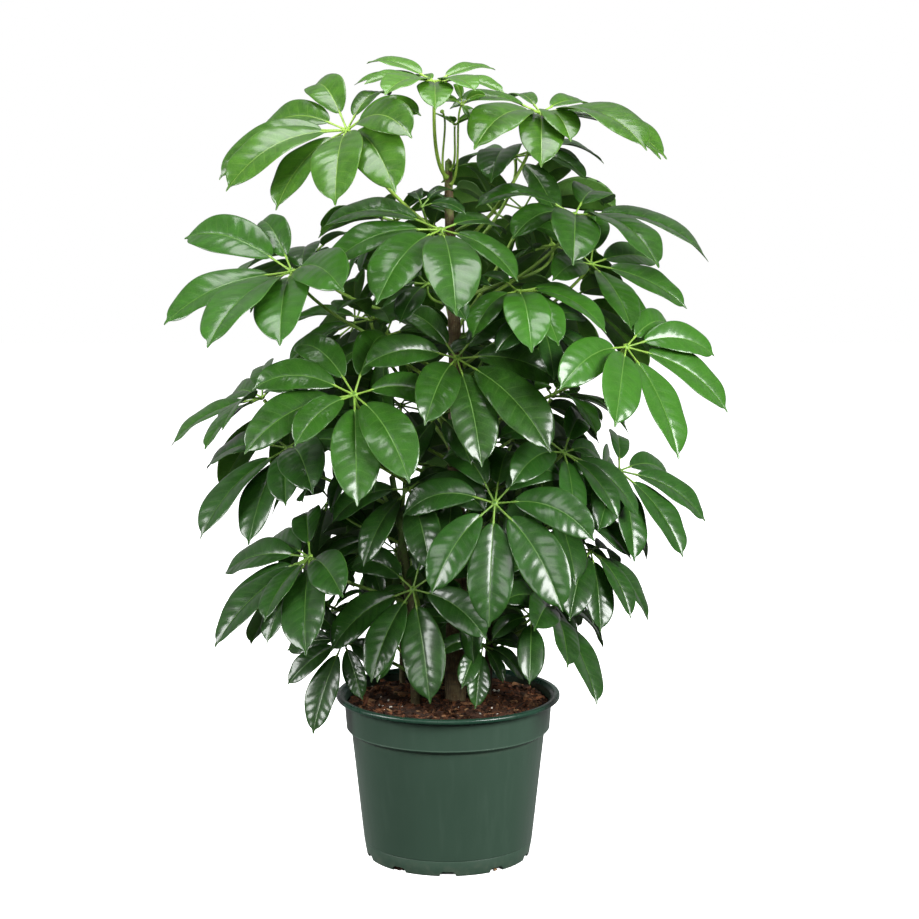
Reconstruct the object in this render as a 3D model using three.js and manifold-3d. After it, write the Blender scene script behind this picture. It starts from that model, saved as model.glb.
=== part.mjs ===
// Umbrella plant (Schefflera) in a ten inch nursery pot.
// Millimetres, +Z up, the origin is the middle of the pot's flat underside, -Y is the front.
import * as THREE from 'three';
import { mergeVertices } from 'three/addons/utils/BufferGeometryUtils.js';
import Module from 'manifold-3d';

const wasm = await Module();
wasm.setup();

// Driving sizes of the pot
const RIM_R = 127;               // outside of the rolled lip, a ten inch pot
const POT_H = 188;               // height over the lip
const LIP_LOW_Z = 183;           // underside of the lip
const WALL = 1.6;                // moulded wall
const FLOOR_T = 2;
const EDGE = 1.2;                // rounding of the lip and the foot
const FOOT_R = 93;               // outside of the foot
const BAND_TOP_R = 118;          // collar under the lip
const BAND_LOW_R = 115.6;        // collar at its crease
const BAND_LOW_Z = 149.5;
const SHOULDER_R = 115;          // slanting shoulder under the collar
const SHOULDER_Z = 148.3;
const SHOULDER_IN = 1.2;         // its inside stands this much higher, for an even wall
const BODY_TOP_R = 109.9;        // tapered body under the collar
const BODY_TOP_Z = 145;
const BODY_LOW_R = 96.1;
const BODY_LOW_Z = 18;
const WALL_SLOPE = 0.132;        // how the whole wall widens from the body's foot to the lip
const POT_SIDES = 36;
const NOTCHES = 10;              // drain slots round the foot
const NOTCH_W = 19;
const NOTCH_H = 5.5;
const NOTCH_IN_R = 84;

// Driving sizes of the soil
const GAP = 0.3;                 // clearance between touching pieces
const SOIL_Z = 176;              // soil level at the wall
const SOIL_RISE = 3;             // gentle mound round the stems
const SOIL_LUMP = 3.2;           // unevenness of its surface
const SOIL_LOW_Z = 9;            // drawn in below this, clear of the drain slots
const SOIL_SIDES = 24;

// Driving sizes of the leaves
const BLADE_W = 0.44;            // greatest width for a blade of length 1
const BLADE_FULL = 1.05;         // few-sided outline drawn fuller to keep the true width
const BLADE_END = 0.935;         // share where the rounded end gives way to the drip tip
const BLADE_T = 1.5;             // thickness on the midrib
const FOLD = 0.15;               // rise of the blade's edges over the midrib
const STALK = 0.2;               // leaflet stalk for a blade of length 1
const STALK_R = 1.3;
const CURL = 0.25;               // how far the blade's end curls under
const SHORTER = 0.24;            // leaflets beside the leaf stalk are this much shorter
const STEPS = 16;                // steps of the midrib curve
const RINGS = [0, 4, 8, 12];     // steps that carry a section of the blade

const DEG = Math.PI / 180;
const V = (x, y, z) => new THREE.Vector3(x, y, z);
const UP = V(0, 0, 1);
const unit = (v) => v.normalize();
const plus = (p, ...terms) => {
  const q = p.clone();
  for (let i = 0; i < terms.length; i += 2) q.addScaledVector(terms[i], terms[i + 1]);
  return q;
};

// Small seeded generator, numbers from 0 to 1
function randomFrom(seed) {
  let s = seed >>> 0;
  return () => {
    s = (Math.imul(s, 1664525) + 1013904223) >>> 0;
    return s / 4294967296;
  };
}

// Stems as [x, y, z, radius] from inside the soil to the growing tip, with the sides of each
const STEMS = {
  trunk: { sides: 10, points: [[8, 0, 110, 12.6], [8, 0, 190, 12.2], [10, 0, 300, 11.2],
    [9, 0, 430, 9.6], [9, 0, 556, 7.8], [5, 0, 660, 6.2], [1, 0, 745, 4.9], [1, 0, 788, 3.9]] },
  stem_left: { sides: 8, points: [[-36, -18, 110, 5.4], [-37, -19, 190, 5.2],
    [-42, -22, 290, 4.7], [-52, -24, 380, 4.2], [-62, -26, 440, 3.4]] },
  stem_right: { sides: 8, points: [[42, 14, 110, 5.6], [44, 15, 190, 5.4],
    [52, 14, 290, 4.8], [66, 10, 370, 4.2], [80, 8, 420, 3.4]] },
  stem_back: { sides: 8, points: [[28, 62, 110, 5.6], [29, 64, 190, 5.4],
    [33, 72, 290, 4.9], [36, 80, 390, 4.2], [40, 86, 440, 3.4]] },
  stem_thin: { sides: 8, points: [[-54, 82, 110, 3.4], [-54, 84, 190, 3.3],
    [-55, 92, 290, 3.1], [-58, 98, 370, 2.8], [-60, 100, 400, 2.6]] },
};

// Leaflets spread evenly round their hub: turn of the first one and how many there are
const evenly = (first, n) => Array.from({ length: n }, (_, k) => [first + (360 * k) / n, 100, 1]);

// One row for each compound leaf: hub x, y, z, the azimuth it leans to and by how much, blade
// length, droop, lift of the leaflets over the hub's plane, stem that carries it, height of
// its joint there, and its leaflets as turn in degrees and length in percent
const LEAVES = [
  [-14, -36, 874, -86, 16, 85, 0.47, 15, 'trunk', 770,
    [[-133, 114], [-108, 104], [-74, 88], [-33, 114], [-3, 104], [26, 94], [60, 90],
      [123, 96], [198, 60]]],
  [8, -14, 828, -60, 8, 27, 0.2, 30, 'trunk', 778,
    [[-118, 100], [-46, 104], [26, 108], [96, 100], [170, 100]]],
  [-107, -78, 824, -125, 38, 122, 0.97, 23, 'trunk', 704,
    [[-181, 78], [-138, 98], [-96, 100], [-57, 110], [-33, 110], [-9, 92], [34, 110],
      [61, 112], [84, 98], [120, 76]]],
  [102, 14, 840, -61, 17, 130, 0.8, 14, 'trunk', 690,
    [[-112, 80], [-64, 106], [-30, 90], [-13, 72], [14, 112], [38, 106], [60, 100],
      [112, 74], [178, 62]]],
  [75, 63, 790, -133, 15, 103, 1.08, 1, 'trunk', 668,
    [[-131, 108], [-100, 104], [38, 108], [70, 86], [110, 90], [138, 110], [166, 104]]],
  [140, -2, 729, -39, 20, 134, 0.94, 15, 'trunk', 618,
    [[-130, 92], [-96, 78], [-56, 100], [-15, 98], [47, 108], [117, 98], [163, 80]]],
  [-7, -76, 718, -71, 24, 125, 0.86, 7, 'trunk', 638,
    [[-128, 110], [-91, 103], [-47, 108], [-15, 112], [37, 76], [116, 82]]],
  [-168, -66, 672, -127, 37, 137, 0.6, 23, 'trunk', 548,
    [[-135, 78], [-102, 108], [-40, 96], [9, 110], [38, 108], [63, 104]]],
  [-155, 60, 679, 138, 20, 116, 1.0, 8, 'trunk', 592, evenly(-4, 8)],
  [76, -56, 650, -84, 11, 104, 1.1, 4, 'trunk', 580,
    [[-146, 82], [-40, 84], [0, 110], [25, 86], [56, 100], [100, 93], [172, 76]]],
  [194, -66, 590, -47, 48, 120, 0.9, 17, 'trunk', 478,
    [[-95, 96], [-51, 100], [-6, 102], [50, 100], [84, 88], [118, 80]]],
  [160, 30, 672, -48, 40, 101, 0.5, 15, 'trunk', 560,
    [[-142, 84], [-74, 92], [-30, 108], [8, 100], [48, 104], [95, 100], [146, 100]]],
  [118, 72, 690, 100, 30, 100, 1.0, 10, 'trunk', 632, evenly(10, 7)],
  [-100, -106, 543, -91, 45, 114, 0.96, 14, 'trunk', 452,
    [[-147, 100], [-107, 99], [-73, 110], [-47, 76], [4, 107], [33, 108], [99, 84],
      [168, 98]]],
  [10, -69, 578, -75, 50, 117, 0.82, 12, 'trunk', 505,
    [[-150, 80], [-98, 90], [-46, 92], [2, 100], [38, 114], [85, 96], [134, 88]]],
  [-86, 8, 612, -133, 13, 94, 0.7, 16, 'trunk', 532,
    [[-132, 84], [-63, 106], [-16, 100], [22, 96], [62, 97], [100, 102], [162, 97]]],
  [-209, 24, 522, -162, 36, 101, 0.64, 18, 'trunk', 425,
    [[-121, 90], [-90, 97], [-27, 104], [35, 92], [62, 106], [112, 92], [154, 88]]],
  [-177, -23, 472, -146, 30, 119, 0.87, 9, 'stem_left', 404,
    [[-101, 78], [-71, 98], [4, 106], [30, 100], [58, 88], [76, 114], [116, 92], [172, 92]]],
  [128, -48, 471, -42, 45, 103, 1.02, 9, 'trunk', 405,
    [[-138, 83], [-97, 98], [-35, 84], [3, 81], [42, 96], [88, 70], [132, 92]]],
  [194, 28, 438, -40, 45, 103, 0.9, 12, 'stem_right', 360,
    [[-104, 88], [-64, 96], [-28, 96], [6, 102], [44, 100], [88, 84], [142, 80]]],
  [118, 36, 522, -7, 26, 90, 1.16, 22, 'trunk', 440,
    [[-120, 84], [-58, 104], [-23, 96], [10, 96], [46, 88], [88, 94], [132, 98]]],
  [51, -108, 425, -95, 55, 115, 1.24, 7, 'trunk', 342,
    [[-153, 100], [-108, 92], [-42, 92], [-1, 100], [43, 108], [88, 100], [137, 88], [174, 100]]],
  [-153, -50, 354, -142, 40, 118, 0.6, 8, 'stem_left', 296,
    [[-134, 94], [-102, 100], [-76, 103], [-41, 99], [-13, 104], [4, 82], [24, 80],
      [46, 116], [78, 98]]],
  [-38, -84, 325, -111, 53, 106, 1.06, 6, 'stem_left', 248,
    [[-125, 96], [-60, 98], [-18, 92], [24, 106], [75, 93], [127, 96], [174, 96]]],
  [-43, -41, 429, -123, 41, 92, 1.15, 7, 'trunk', 368,
    [[-66, 94], [-11, 96], [43, 108], [99, 114], [154, 82]]],
  [160, -12, 354, -33, 32, 89, 1.5, 0, 'stem_right', 288,
    [[-121, 82], [-73, 114], [-48, 100], [-15, 92], [26, 100], [96, 92], [155, 95]]],
  [118, -16, 288, -24, 42, 103, 0.7, 15, 'stem_right', 240,
    [[-119, 100], [-92, 110], [-60, 98], [-31, 110], [100, 84], [165, 76]]],
  [39, -58, 256, -53, 47, 56, 1.2, 5, 'trunk', 222,
    [[-112, 100], [-68, 104], [-32, 114], [8, 74], [50, 106], [94, 100]]],
  [-118, -10, 250, -122, 60, 88, 0.5, 6, 'stem_left', 214,
    [[-132, 84], [-84, 84], [-44, 80], [-7, 106], [34, 72], [80, 76]]],
  [-70, 28, 592, -142, 50, 112, 1.0, 2, 'trunk', 490, evenly(2, 7)],
  [112, 5, 405, -39, 48, 116, 1.0, 12, 'stem_right', 346, evenly(16, 7)],
  [-60, 84, 716, 128, 36, 92, 1.0, 10, 'trunk', 640, evenly(-16, 7)],
  [86, 104, 728, 80, 56, 114, 0.95, 9, 'trunk', 604, evenly(40, 8)],
  [-19, 112, 698, 104, 38, 107, 1.0, 14, 'trunk', 568, evenly(-11, 8)],
  [140, 112, 625, 54, 54, 112, 1.0, 10, 'trunk', 520, evenly(14, 8)],
  [-108, 116, 596, 140, 56, 104, 1.0, 12, 'trunk', 466, evenly(22, 8)],
  [18, 136, 580, 78, 38, 116, 0.95, 6, 'trunk', 452, evenly(0, 8)],
  [-176, 84, 509, 126, 58, 116, 1.0, 10, 'trunk', 398, evenly(-16, 7)],
  [100, 130, 500, 41, 52, 98, 1.0, 14, 'stem_back', 412, evenly(6, 8)],
  [-56, 160, 494, 86, 46, 114, 0.95, 12, 'stem_thin', 372, evenly(-16, 8)],
  [36, 170, 448, 70, 52, 116, 0.9, 10, 'stem_back', 366, evenly(0, 8)],
  [-138, 96, 393, 148, 58, 114, 1.0, 3, 'stem_thin', 318, evenly(21, 7)],
  [176, 86, 408, 10, 54, 90, 1.0, 12, 'stem_back', 306, evenly(8, 7)],
  [88, 152, 338, 58, 50, 100, 0.9, 20, 'stem_back', 262, evenly(-12, 7)],
  [-62, 166, 318, 90, 58, 114, 0.9, 15, 'stem_thin', 262, evenly(20, 7)],
  [-164, 50, 300, 136, 48, 94, 1.0, 24, 'stem_left', 256, evenly(12, 7)],
  [10, 136, 268, 98, 56, 102, 0.9, 10, 'stem_back', 226, evenly(0, 6)],
  [-116, 60, 470, 160, 39, 112, 0.9, 16, 'stem_left', 384, evenly(0, 7)],
];

// Looks of the pieces
const look = (color, roughness) =>
  new THREE.MeshStandardMaterial({ color, roughness, metalness: 0 });
const POT_LOOK = look(0x37604d, 0.42);
const SOIL_LOOK = look(0x3a2a20, 0.95);
const BARK_LOOK = look(0x7d6f58, 0.85);
const SHOOT_LOOK = look(0x6f8a45, 0.6);
const YOUNG_LOOK = look(0x86a64a, 0.4);
const LEAF_LOOK = look(0x3f7032, 0.38);
const OLD_LOOK = look(0x2c5528, 0.38);

// Closed mesh from corner points and index triples
function solidFrom(points, faces) {
  const g = new THREE.BufferGeometry();
  g.setAttribute('position', new THREE.Float32BufferAttribute(
    points.flatMap((p) => [p.x, p.y, p.z]), 3));
  g.setIndex(faces.flat());
  return g;
}

// Triangles between two rings of the same count, first and second are index lists
function band(faces, first, second) {
  const n = first.length;
  for (let i = 0; i < n; i++) {
    const j = (i + 1) % n;
    faces.push([first[i], first[j], second[j]], [first[i], second[j], second[i]]);
  }
}

// Manifold solid of a closed geometry, and back to a geometry
function toManifold(geometry) {
  let g = geometry.clone();
  g.deleteAttribute('normal');
  g.deleteAttribute('uv');
  g = mergeVertices(g, 1e-4);
  return new wasm.Manifold(new wasm.Mesh({
    numProp: 3,
    vertProperties: new Float32Array(g.attributes.position.array),
    triVerts: new Uint32Array(g.index.array),
  }));
}

function fromManifold(solid) {
  const mesh = solid.getMesh();
  const g = new THREE.BufferGeometry();
  g.setAttribute('position', new THREE.BufferAttribute(new Float32Array(mesh.vertProperties), 3));
  g.setIndex(new THREE.BufferAttribute(new Uint32Array(mesh.triVerts), 1));
  return g;
}

// Round solid about Z from a profile of [radius, height]
function turned(profile, sides) {
  const g = new THREE.LatheGeometry(profile.map(([r, z]) => new THREE.Vector2(r, z)), sides);
  g.rotateX(Math.PI / 2);
  return g;
}

// Centre and radius of a stem at a height, and how it runs and tapers there
function stemAt(name, z) {
  const pts = STEMS[name].points;
  let i = 0;
  while (i < pts.length - 2 && z > pts[i + 1][2]) i++;
  const [a, b] = [pts[i], pts[i + 1]];
  const t = (z - a[2]) / (b[2] - a[2]);
  const mix = (k) => a[k] + (b[k] - a[k]) * t;
  return { c: V(mix(0), mix(1), z), r: mix(3), run: V(b[0] - a[0], b[1] - a[1], b[2] - a[2]),
    taper: b[3] - a[3] };
}

// Many-sided tapered stem with a small pointed tip, or the hole for it when grown by a gap
function stemSolid(name, grow = 0) {
  const { sides, points } = STEMS[name];
  const rings = points.map(([x, y, z, r]) => ({ c: V(x, y, z), r: r + grow }));
  if (grow) {
    rings.splice(3);
    rings[0].c.z -= grow;
  }
  const pts = [];
  const loops = rings.map(({ c, r }) => Array.from({ length: sides }, (_, i) => {
    const a = (2 * Math.PI * i) / sides;
    return pts.push(V(c.x + r * Math.cos(a), c.y + r * Math.sin(a), c.z)) - 1;
  }));
  const faces = [];
  for (let k = 1; k < loops.length; k++) band(faces, loops[k - 1], loops[k]);
  const last = rings.at(-1);
  const low = pts.push(rings[0].c.clone()) - 1;
  const tip = pts.push(plus(last.c, UP, grow ? 0 : last.r)) - 1;
  for (let i = 0; i < sides; i++) {
    const j = (i + 1) % sides;
    faces.push([low, loops[0][j], loops[0][i]], [tip, loops.at(-1)[i], loops.at(-1)[j]]);
  }
  return solidFrom(pts, faces);
}

// Pot: a tapered cup with a collar and a rolled lip, and drain slots cut in its foot
function potSolid() {
  const profile = [
    [0, 0], [FOOT_R - EDGE, 0], [FOOT_R, EDGE], [BODY_LOW_R, BODY_LOW_Z],
    [BODY_TOP_R, BODY_TOP_Z], [SHOULDER_R, SHOULDER_Z], [BAND_LOW_R, BAND_LOW_Z],
    [BAND_TOP_R, LIP_LOW_Z], [RIM_R - EDGE, LIP_LOW_Z], [RIM_R, LIP_LOW_Z + EDGE],
    [RIM_R, POT_H - EDGE], [RIM_R - 2 * EDGE, POT_H], [BAND_TOP_R + 2 * EDGE, POT_H],
    [BAND_TOP_R - WALL, LIP_LOW_Z + EDGE], [BAND_LOW_R - WALL, BAND_LOW_Z + SHOULDER_IN],
    [BODY_TOP_R - WALL, BODY_TOP_Z + SHOULDER_IN], [BODY_LOW_R - WALL, BODY_LOW_Z],
    [FOOT_R - WALL, FLOOR_T], [0, FLOOR_T],
  ];
  let pot = toManifold(turned(profile, POT_SIDES));
  const slot = new THREE.Shape();
  slot.moveTo(-NOTCH_W / 2, -1);
  slot.lineTo(NOTCH_W / 2, -1);
  slot.lineTo(NOTCH_W / 2 - 1, NOTCH_H - 2);
  slot.lineTo(NOTCH_W / 2 - 3.5, NOTCH_H);
  slot.lineTo(-NOTCH_W / 2 + 3.5, NOTCH_H);
  slot.lineTo(-NOTCH_W / 2 + 1, NOTCH_H - 2);
  slot.closePath();
  for (let i = 0; i < NOTCHES; i++) {
    const cut = new THREE.ExtrudeGeometry(slot, { depth: 16, bevelEnabled: false });
    cut.rotateX(Math.PI / 2);
    cut.translate(0, -NOTCH_IN_R, 0);
    cut.rotateZ((2 * Math.PI * i) / NOTCHES);
    pot = pot.subtract(toManifold(cut));
  }
  return fromManifold(pot);
}

// Soil: fills the cup up to a lumpy mound, with a plain hole for each stem
function soilSolid() {
  const inside = (r) => (r - WALL) * Math.cos(Math.PI / POT_SIDES) - GAP;
  const wall = (z) => {
    const t = (z - BODY_LOW_Z) / (BODY_TOP_Z - BODY_LOW_Z);
    return inside(BODY_LOW_R + (BODY_TOP_R - BODY_LOW_R) * t);
  };
  const edge = inside(BAND_LOW_R + (SOIL_Z - BAND_LOW_Z) * 0.05);
  const floor = FLOOR_T + GAP;
  const mound = (share) => [edge * share, SOIL_Z + SOIL_RISE * (1 - share ** 2)];
  const profile = [[0, floor], [NOTCH_IN_R - 1, floor], [inside(FOOT_R), SOIL_LOW_Z],
    [wall(BODY_TOP_Z) - GAP, BODY_TOP_Z + SHOULDER_IN],
    [inside(BAND_LOW_R) - GAP, BAND_LOW_Z + 2 * SHOULDER_IN],
    mound(1),
    mound(0.78), mound(0.5), mound(0.22), mound(0)];
  let g = turned(profile, SOIL_SIDES);
  g.deleteAttribute('normal');
  g.deleteAttribute('uv');
  g = mergeVertices(g, 1e-3);
  const random = randomFrom(7);
  const p = g.attributes.position;
  for (let i = 0; i < p.count; i++) {
    if (p.getZ(i) > SOIL_Z + 0.5) p.setZ(i, p.getZ(i) + SOIL_LUMP * (random() - 0.5));
  }
  let soil = toManifold(g);
  for (const name of Object.keys(STEMS)) soil = soil.subtract(toManifold(stemSolid(name, GAP)));
  return fromManifold(soil);
}

// Half width of a blade of length 1 at the share t of its length: round at both ends, with a
// narrow drip tip
function halfWidth(t) {
  const u = Math.min(Math.max(t, 0), 1) ** 1.12;
  const body = Math.sqrt(Math.max(Math.sin(Math.PI * Math.min(u / BLADE_END, 1)), 0));
  const tail = t > 0.5 ? 0.13 * Math.sqrt(Math.min((1 - t) / 0.1, 1)) : 0;
  return (BLADE_W / 2) * Math.cbrt(body ** 3 + tail ** 3);
}

// Normal and outward direction of a hub that leans by tilt towards an azimuth
function hubFrame(azimuth, tilt) {
  const rad = V(Math.cos(azimuth * DEG), Math.sin(azimuth * DEG), 0);
  const normal = plus(V(0, 0, Math.cos(tilt * DEG)), rad, Math.sin(tilt * DEG));
  const out = unit(plus(rad, normal, -rad.dot(normal)));
  return { normal, out, side: normal.clone().cross(out) };
}

// Midrib of one leaflet: points, width directions and upper normals at each step, bending
// down under its weight and curling under towards its tip
function midrib(leaf, phi, lift, size) {
  const { normal, out, side } = leaf.frame;
  const r = plus(V(0, 0, 0), out, Math.cos(phi), side, Math.sin(phi));
  const d = plus(V(0, 0, 0), r, Math.cos(lift), normal, Math.sin(lift));
  const w = unit(normal.clone().cross(d));
  const length = leaf.length * size * (1 - (SHORTER * (1 - Math.cos(phi))) / 2);
  const p = plus(leaf.hub, d, STALK * leaf.length * size);
  const rib = { length, p: [p.clone()], w: [w.clone()], m: [d.clone().cross(w)] };
  const start = d.clone();
  for (let k = 0; k < STEPS; k++) {
    const t = (k + 0.5) / STEPS;
    d.copy(start).addScaledVector(UP, -leaf.droop * t ** 1.2);
    d.addScaledVector(normal, -CURL * t * t).normalize();
    w.addScaledVector(d, -w.dot(d)).normalize();
    p.addScaledVector(d, length / STEPS);
    rib.p.push(p.clone());
    rib.w.push(w.clone());
    rib.m.push(d.clone().cross(w));
  }
  return rib;
}

// Leaf stalk: a curve that leaves a flat side of its stem outwards and reaches the hub
// from under it
function leafStalk(leaf) {
  const { c, r, run, taper } = stemAt(leaf.stem, leaf.joint);
  const { sides } = STEMS[leaf.stem];
  const face = (2 * Math.PI) / sides;
  const aim = Math.atan2(leaf.hub.y - c.y, leaf.hub.x - c.x);
  const a = (Math.floor(aim / face) + 0.5) * face;
  const level = V(Math.cos(a), Math.sin(a), 0);
  const across = V(-level.y, level.x, 0);
  const rad = unit(across.clone().cross(plus(run, level, taper * Math.cos(face / 2))));
  const start = plus(c, level, r * Math.cos(face / 2), rad, GAP);
  const far = start.distanceTo(leaf.hub);
  const end = plus(leaf.hub, leaf.frame.normal, -leaf.hubR * 0.9);
  const curve = new THREE.CubicBezierCurve3(start,
    plus(start, rad, far * 0.24, UP, far * 0.16),
    plus(end, leaf.frame.normal, -far * 0.3), end);
  return { curve, rad, across };
}

// Cells of a coarse grid remember which leaflet, stalk, stem or pot wall passes there, so
// that each new leaflet can turn aside from what already grows in its place. NEAR lists the
// steps to the cells round one, but for the eight at its corners.
const CELL = 4;
const SPREAD = 3.3;              // distance between the points tried on a blade
const MARGIN = 0.6;              // room kept beside a blade
const CROWD = 0.12;              // share of a blade at the hub where neighbours may touch
const GRID = { x: -344.37, y: -344.61, z: 60.43, nx: 173, ny: 173, nz: 225 };
const cells = new Int32Array(GRID.nx * GRID.ny * GRID.nz);
const cellOf = (p) => {
  const i = Math.floor((p.x - GRID.x) / CELL);
  const j = Math.floor((p.y - GRID.y) / CELL);
  const k = Math.floor((p.z - GRID.z) / CELL);
  return (k * GRID.ny + j) * GRID.nx + i;
};
const NEAR = [];
for (let k = -1; k <= 1; k++) {
  for (let j = -1; j <= 1; j++) {
    for (let i = -1; i <= 1; i++) {
      if (i * j * k === 0) NEAR.push((k * GRID.ny + j) * GRID.nx + i);
    }
  }
}
const FIXED = 1;                 // mark of the pot, the soil and the stems
const MARKS = 16;                // marks kept for the pieces of one leaf
const mark = (p, id) => { cells[cellOf(p)] = id; };

// Ways a leaflet gives way, as degrees raised and degrees swung aside, the slightest first
const MOVES = [];
for (const raise of [0, 3, -3, 6, -6, 9, -9, 13, -13, 18, -18, 26, -26, 38, -38]) {
  for (const swing of [0, 3, -3, 6, -6, 9, -9]) MOVES.push([raise, swing]);
}
MOVES.sort((a, b) => a[0] ** 2 + a[1] ** 2 - b[0] ** 2 - b[1] ** 2);

// Points spread over a leaflet's stalk and blade no further apart than a cell
function bladePoints(rib, hub) {
  const pts = [];
  const q = V(0, 0, 0);
  for (let s = 2; s < 10; s++) {
    q.copy(hub).lerp(rib.p[0], s / 10);
    pts.push({ cell: cellOf(q), t: 0 });
  }
  for (let s = 0; s <= 3 * STEPS; s++) {
    const k = Math.min(Math.floor(s / 3), STEPS - 1);
    const f = s / 3 - k;
    const t = s / (3 * STEPS);
    const half = halfWidth(t) * BLADE_FULL * rib.length + MARGIN;
    const across = Math.max(1, Math.ceil(half / SPREAD));
    for (let e = -across; e <= across; e++) {
      const x = (e / across) * half;
      q.copy(rib.p[k]).lerp(rib.p[k + 1], f);
      q.addScaledVector(rib.w[k], x * (1 - f)).addScaledVector(rib.w[k + 1], x * f);
      const rise = FOLD * Math.abs(x);
      q.addScaledVector(rib.m[k], rise * (1 - f)).addScaledVector(rib.m[k + 1], rise * f);
      pts.push({ cell: cellOf(q), t });
    }
  }
  return pts;
}

// True where no point of a blade comes near another piece or crosses a leaflet of its own leaf
function isClear(pts, id) {
  const leafMark = Math.floor(id / MARKS);
  for (const { cell, t } of pts) {
    for (const step of NEAR) {
      const other = cells[cell + step];
      if (!other || other === id) continue;
      if (Math.floor(other / MARKS) !== leafMark) return false;
      if (step === 0 && t > CROWD) return false;
    }
  }
  return true;
}

// Leaflets of one leaf: each keeps its place, or is raised, swung aside or shortened until
// it is clear
function placeLeaflets(leaf) {
  const random = randomFrom(100 + leaf.number);
  leaf.leaflets.forEach(([turn, percent, loose = 0], k) => {
    const jitter = [random() - 0.5, random() - 0.5, random() - 0.5];
    const phi = (turn + 5 * loose * jitter[0]) * DEG;
    const lift = leaf.lift + (2 + 5 * loose) * jitter[1];
    const size = percent / 100 + 0.1 * loose * jitter[2];
    const id = leaf.number * MARKS + k;
    let found = null;
    for (const shrink of [1, 0.86, 0.72]) {
      for (const [raise, swing] of MOVES) {
        if (found) continue;
        const rib = midrib(leaf, phi + swing * DEG, (lift + raise) * DEG, size * shrink);
        const pts = bladePoints(rib, leaf.hub);
        if (isClear(pts, id)) found = { rib, pts };
      }
    }
    leaf.ribs.push(found ? found.rib : null);
    if (found) for (const { cell } of found.pts) if (!cells[cell]) cells[cell] = id;
  });
}

// One leaf as a single closed solid: stalk, hub and a folded blade for each leaflet. The
// hub is a low prism with a side for each leaflet, and every leaflet grows out of its side.
function leafSolid(leaf) {
  const { normal, out, side } = leaf.frame;
  const n = leaf.leaflets.length;
  const pts = [];
  const faces = [];
  const add = (p) => pts.push(p) - 1;
  const corner = (angle, height) => add(plus(leaf.hub, out, leaf.hubR * Math.cos(angle),
    side, leaf.hubR * Math.sin(angle), normal, height));
  const turn = (k) => {
    const before = k ? leaf.leaflets[k - 1][0] : leaf.leaflets[n - 1][0] - 360;
    return ((before + leaf.leaflets[k][0]) / 2) * DEG;
  };
  const low = Array.from({ length: n }, (_, k) => corner(turn(k), -leaf.hubR * 0.45));
  const high = Array.from({ length: n }, (_, k) => corner(turn(k), leaf.hubR * 0.45));
  for (let k = 1; k < n - 1; k++) faces.push([high[0], high[k], high[k + 1]]);
  leaf.ribs.forEach((rib, k) => {
    const j = (k + 1) % n;
    const root = [low[k], low[j], high[j], high[k]];
    if (!rib) {
      faces.push([root[0], root[1], root[2]], [root[0], root[2], root[3]]);
      return;
    }
    let loop = root;
    for (const s of RINGS) {
      const half = s ? halfWidth(s / STEPS) * BLADE_FULL * rib.length : leaf.stalkR;
      const thick = s ? BLADE_T / 2 : leaf.stalkR * 0.8;
      const [p, w, m] = [rib.p[s], rib.w[s], rib.m[s]];
      const rise = s ? FOLD * half : 0;
      const ring = [add(plus(p, m, -thick)), add(plus(p, w, half, m, rise)),
        add(plus(p, m, thick)), add(plus(p, w, -half, m, rise))];
      band(faces, loop, ring);
      loop = ring;
    }
    const tip = add(rib.p[STEPS].clone());
    for (let i = 0; i < 4; i++) faces.push([loop[i], loop[(i + 1) % 4], tip]);
  });
  const { curve, rad, across } = leaf.stalk;
  const COUNT = 5;
  let previous = null;
  for (let s = 0; s < COUNT; s++) {
    const u = s / COUNT;
    const c = curve.getPoint(u);
    const d = s ? curve.getTangent(u) : rad.clone();
    const w = unit(plus(across, d, -across.dot(d)));
    const m = d.clone().cross(w);
    const r = leaf.petioleR * (s ? 1.15 - 0.3 * u : 1.7);
    const ring = [add(plus(c, w, r)), add(plus(c, m, r)), add(plus(c, w, -r)), add(plus(c, m, -r))];
    if (previous) band(faces, previous, ring);
    else faces.push([ring[0], ring[2], ring[1]], [ring[0], ring[3], ring[2]]);
    previous = ring;
  }
  joinRings(pts, faces, previous, low, leaf);
  return solidFrom(pts, faces);
}

// Triangles between the four corners of the stalk's end and the many of the hub's underside,
// both taken in order of their angle round the hub
function joinRings(pts, faces, ring, low, leaf) {
  const { out, side } = leaf.frame;
  const angleOf = (i) => {
    const q = pts[i].clone().sub(leaf.hub);
    return Math.atan2(q.dot(side), q.dot(out));
  };
  const centre = ring.reduce((s, i) => s.add(pts[i]), V(0, 0, 0)).multiplyScalar(1 / ring.length);
  const ringAngle = (i) => {
    const q = pts[i].clone().sub(centre);
    return Math.atan2(q.dot(side), q.dot(out));
  };
  const sorted = (list, f) => list.map((i) => ({ i, a: f(i) })).sort((x, y) => x.a - y.a);
  const A = sorted(ring, ringAngle);
  const B = sorted(low, angleOf);
  let i = 0;
  let j = 0;
  while (i < A.length || j < B.length) {
    const a0 = A[i % A.length].i;
    const b0 = B[j % B.length].i;
    const nextA = i < A.length ? A[(i + 1) % A.length].a + (i + 1 >= A.length ? 2 * Math.PI : 0) : Infinity;
    const nextB = j < B.length ? B[(j + 1) % B.length].a + (j + 1 >= B.length ? 2 * Math.PI : 0) : Infinity;
    if (nextA < nextB) {
      faces.push([a0, A[(i + 1) % A.length].i, b0]);
      i++;
    } else {
      faces.push([a0, B[(j + 1) % B.length].i, b0]);
      j++;
    }
  }
}

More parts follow.
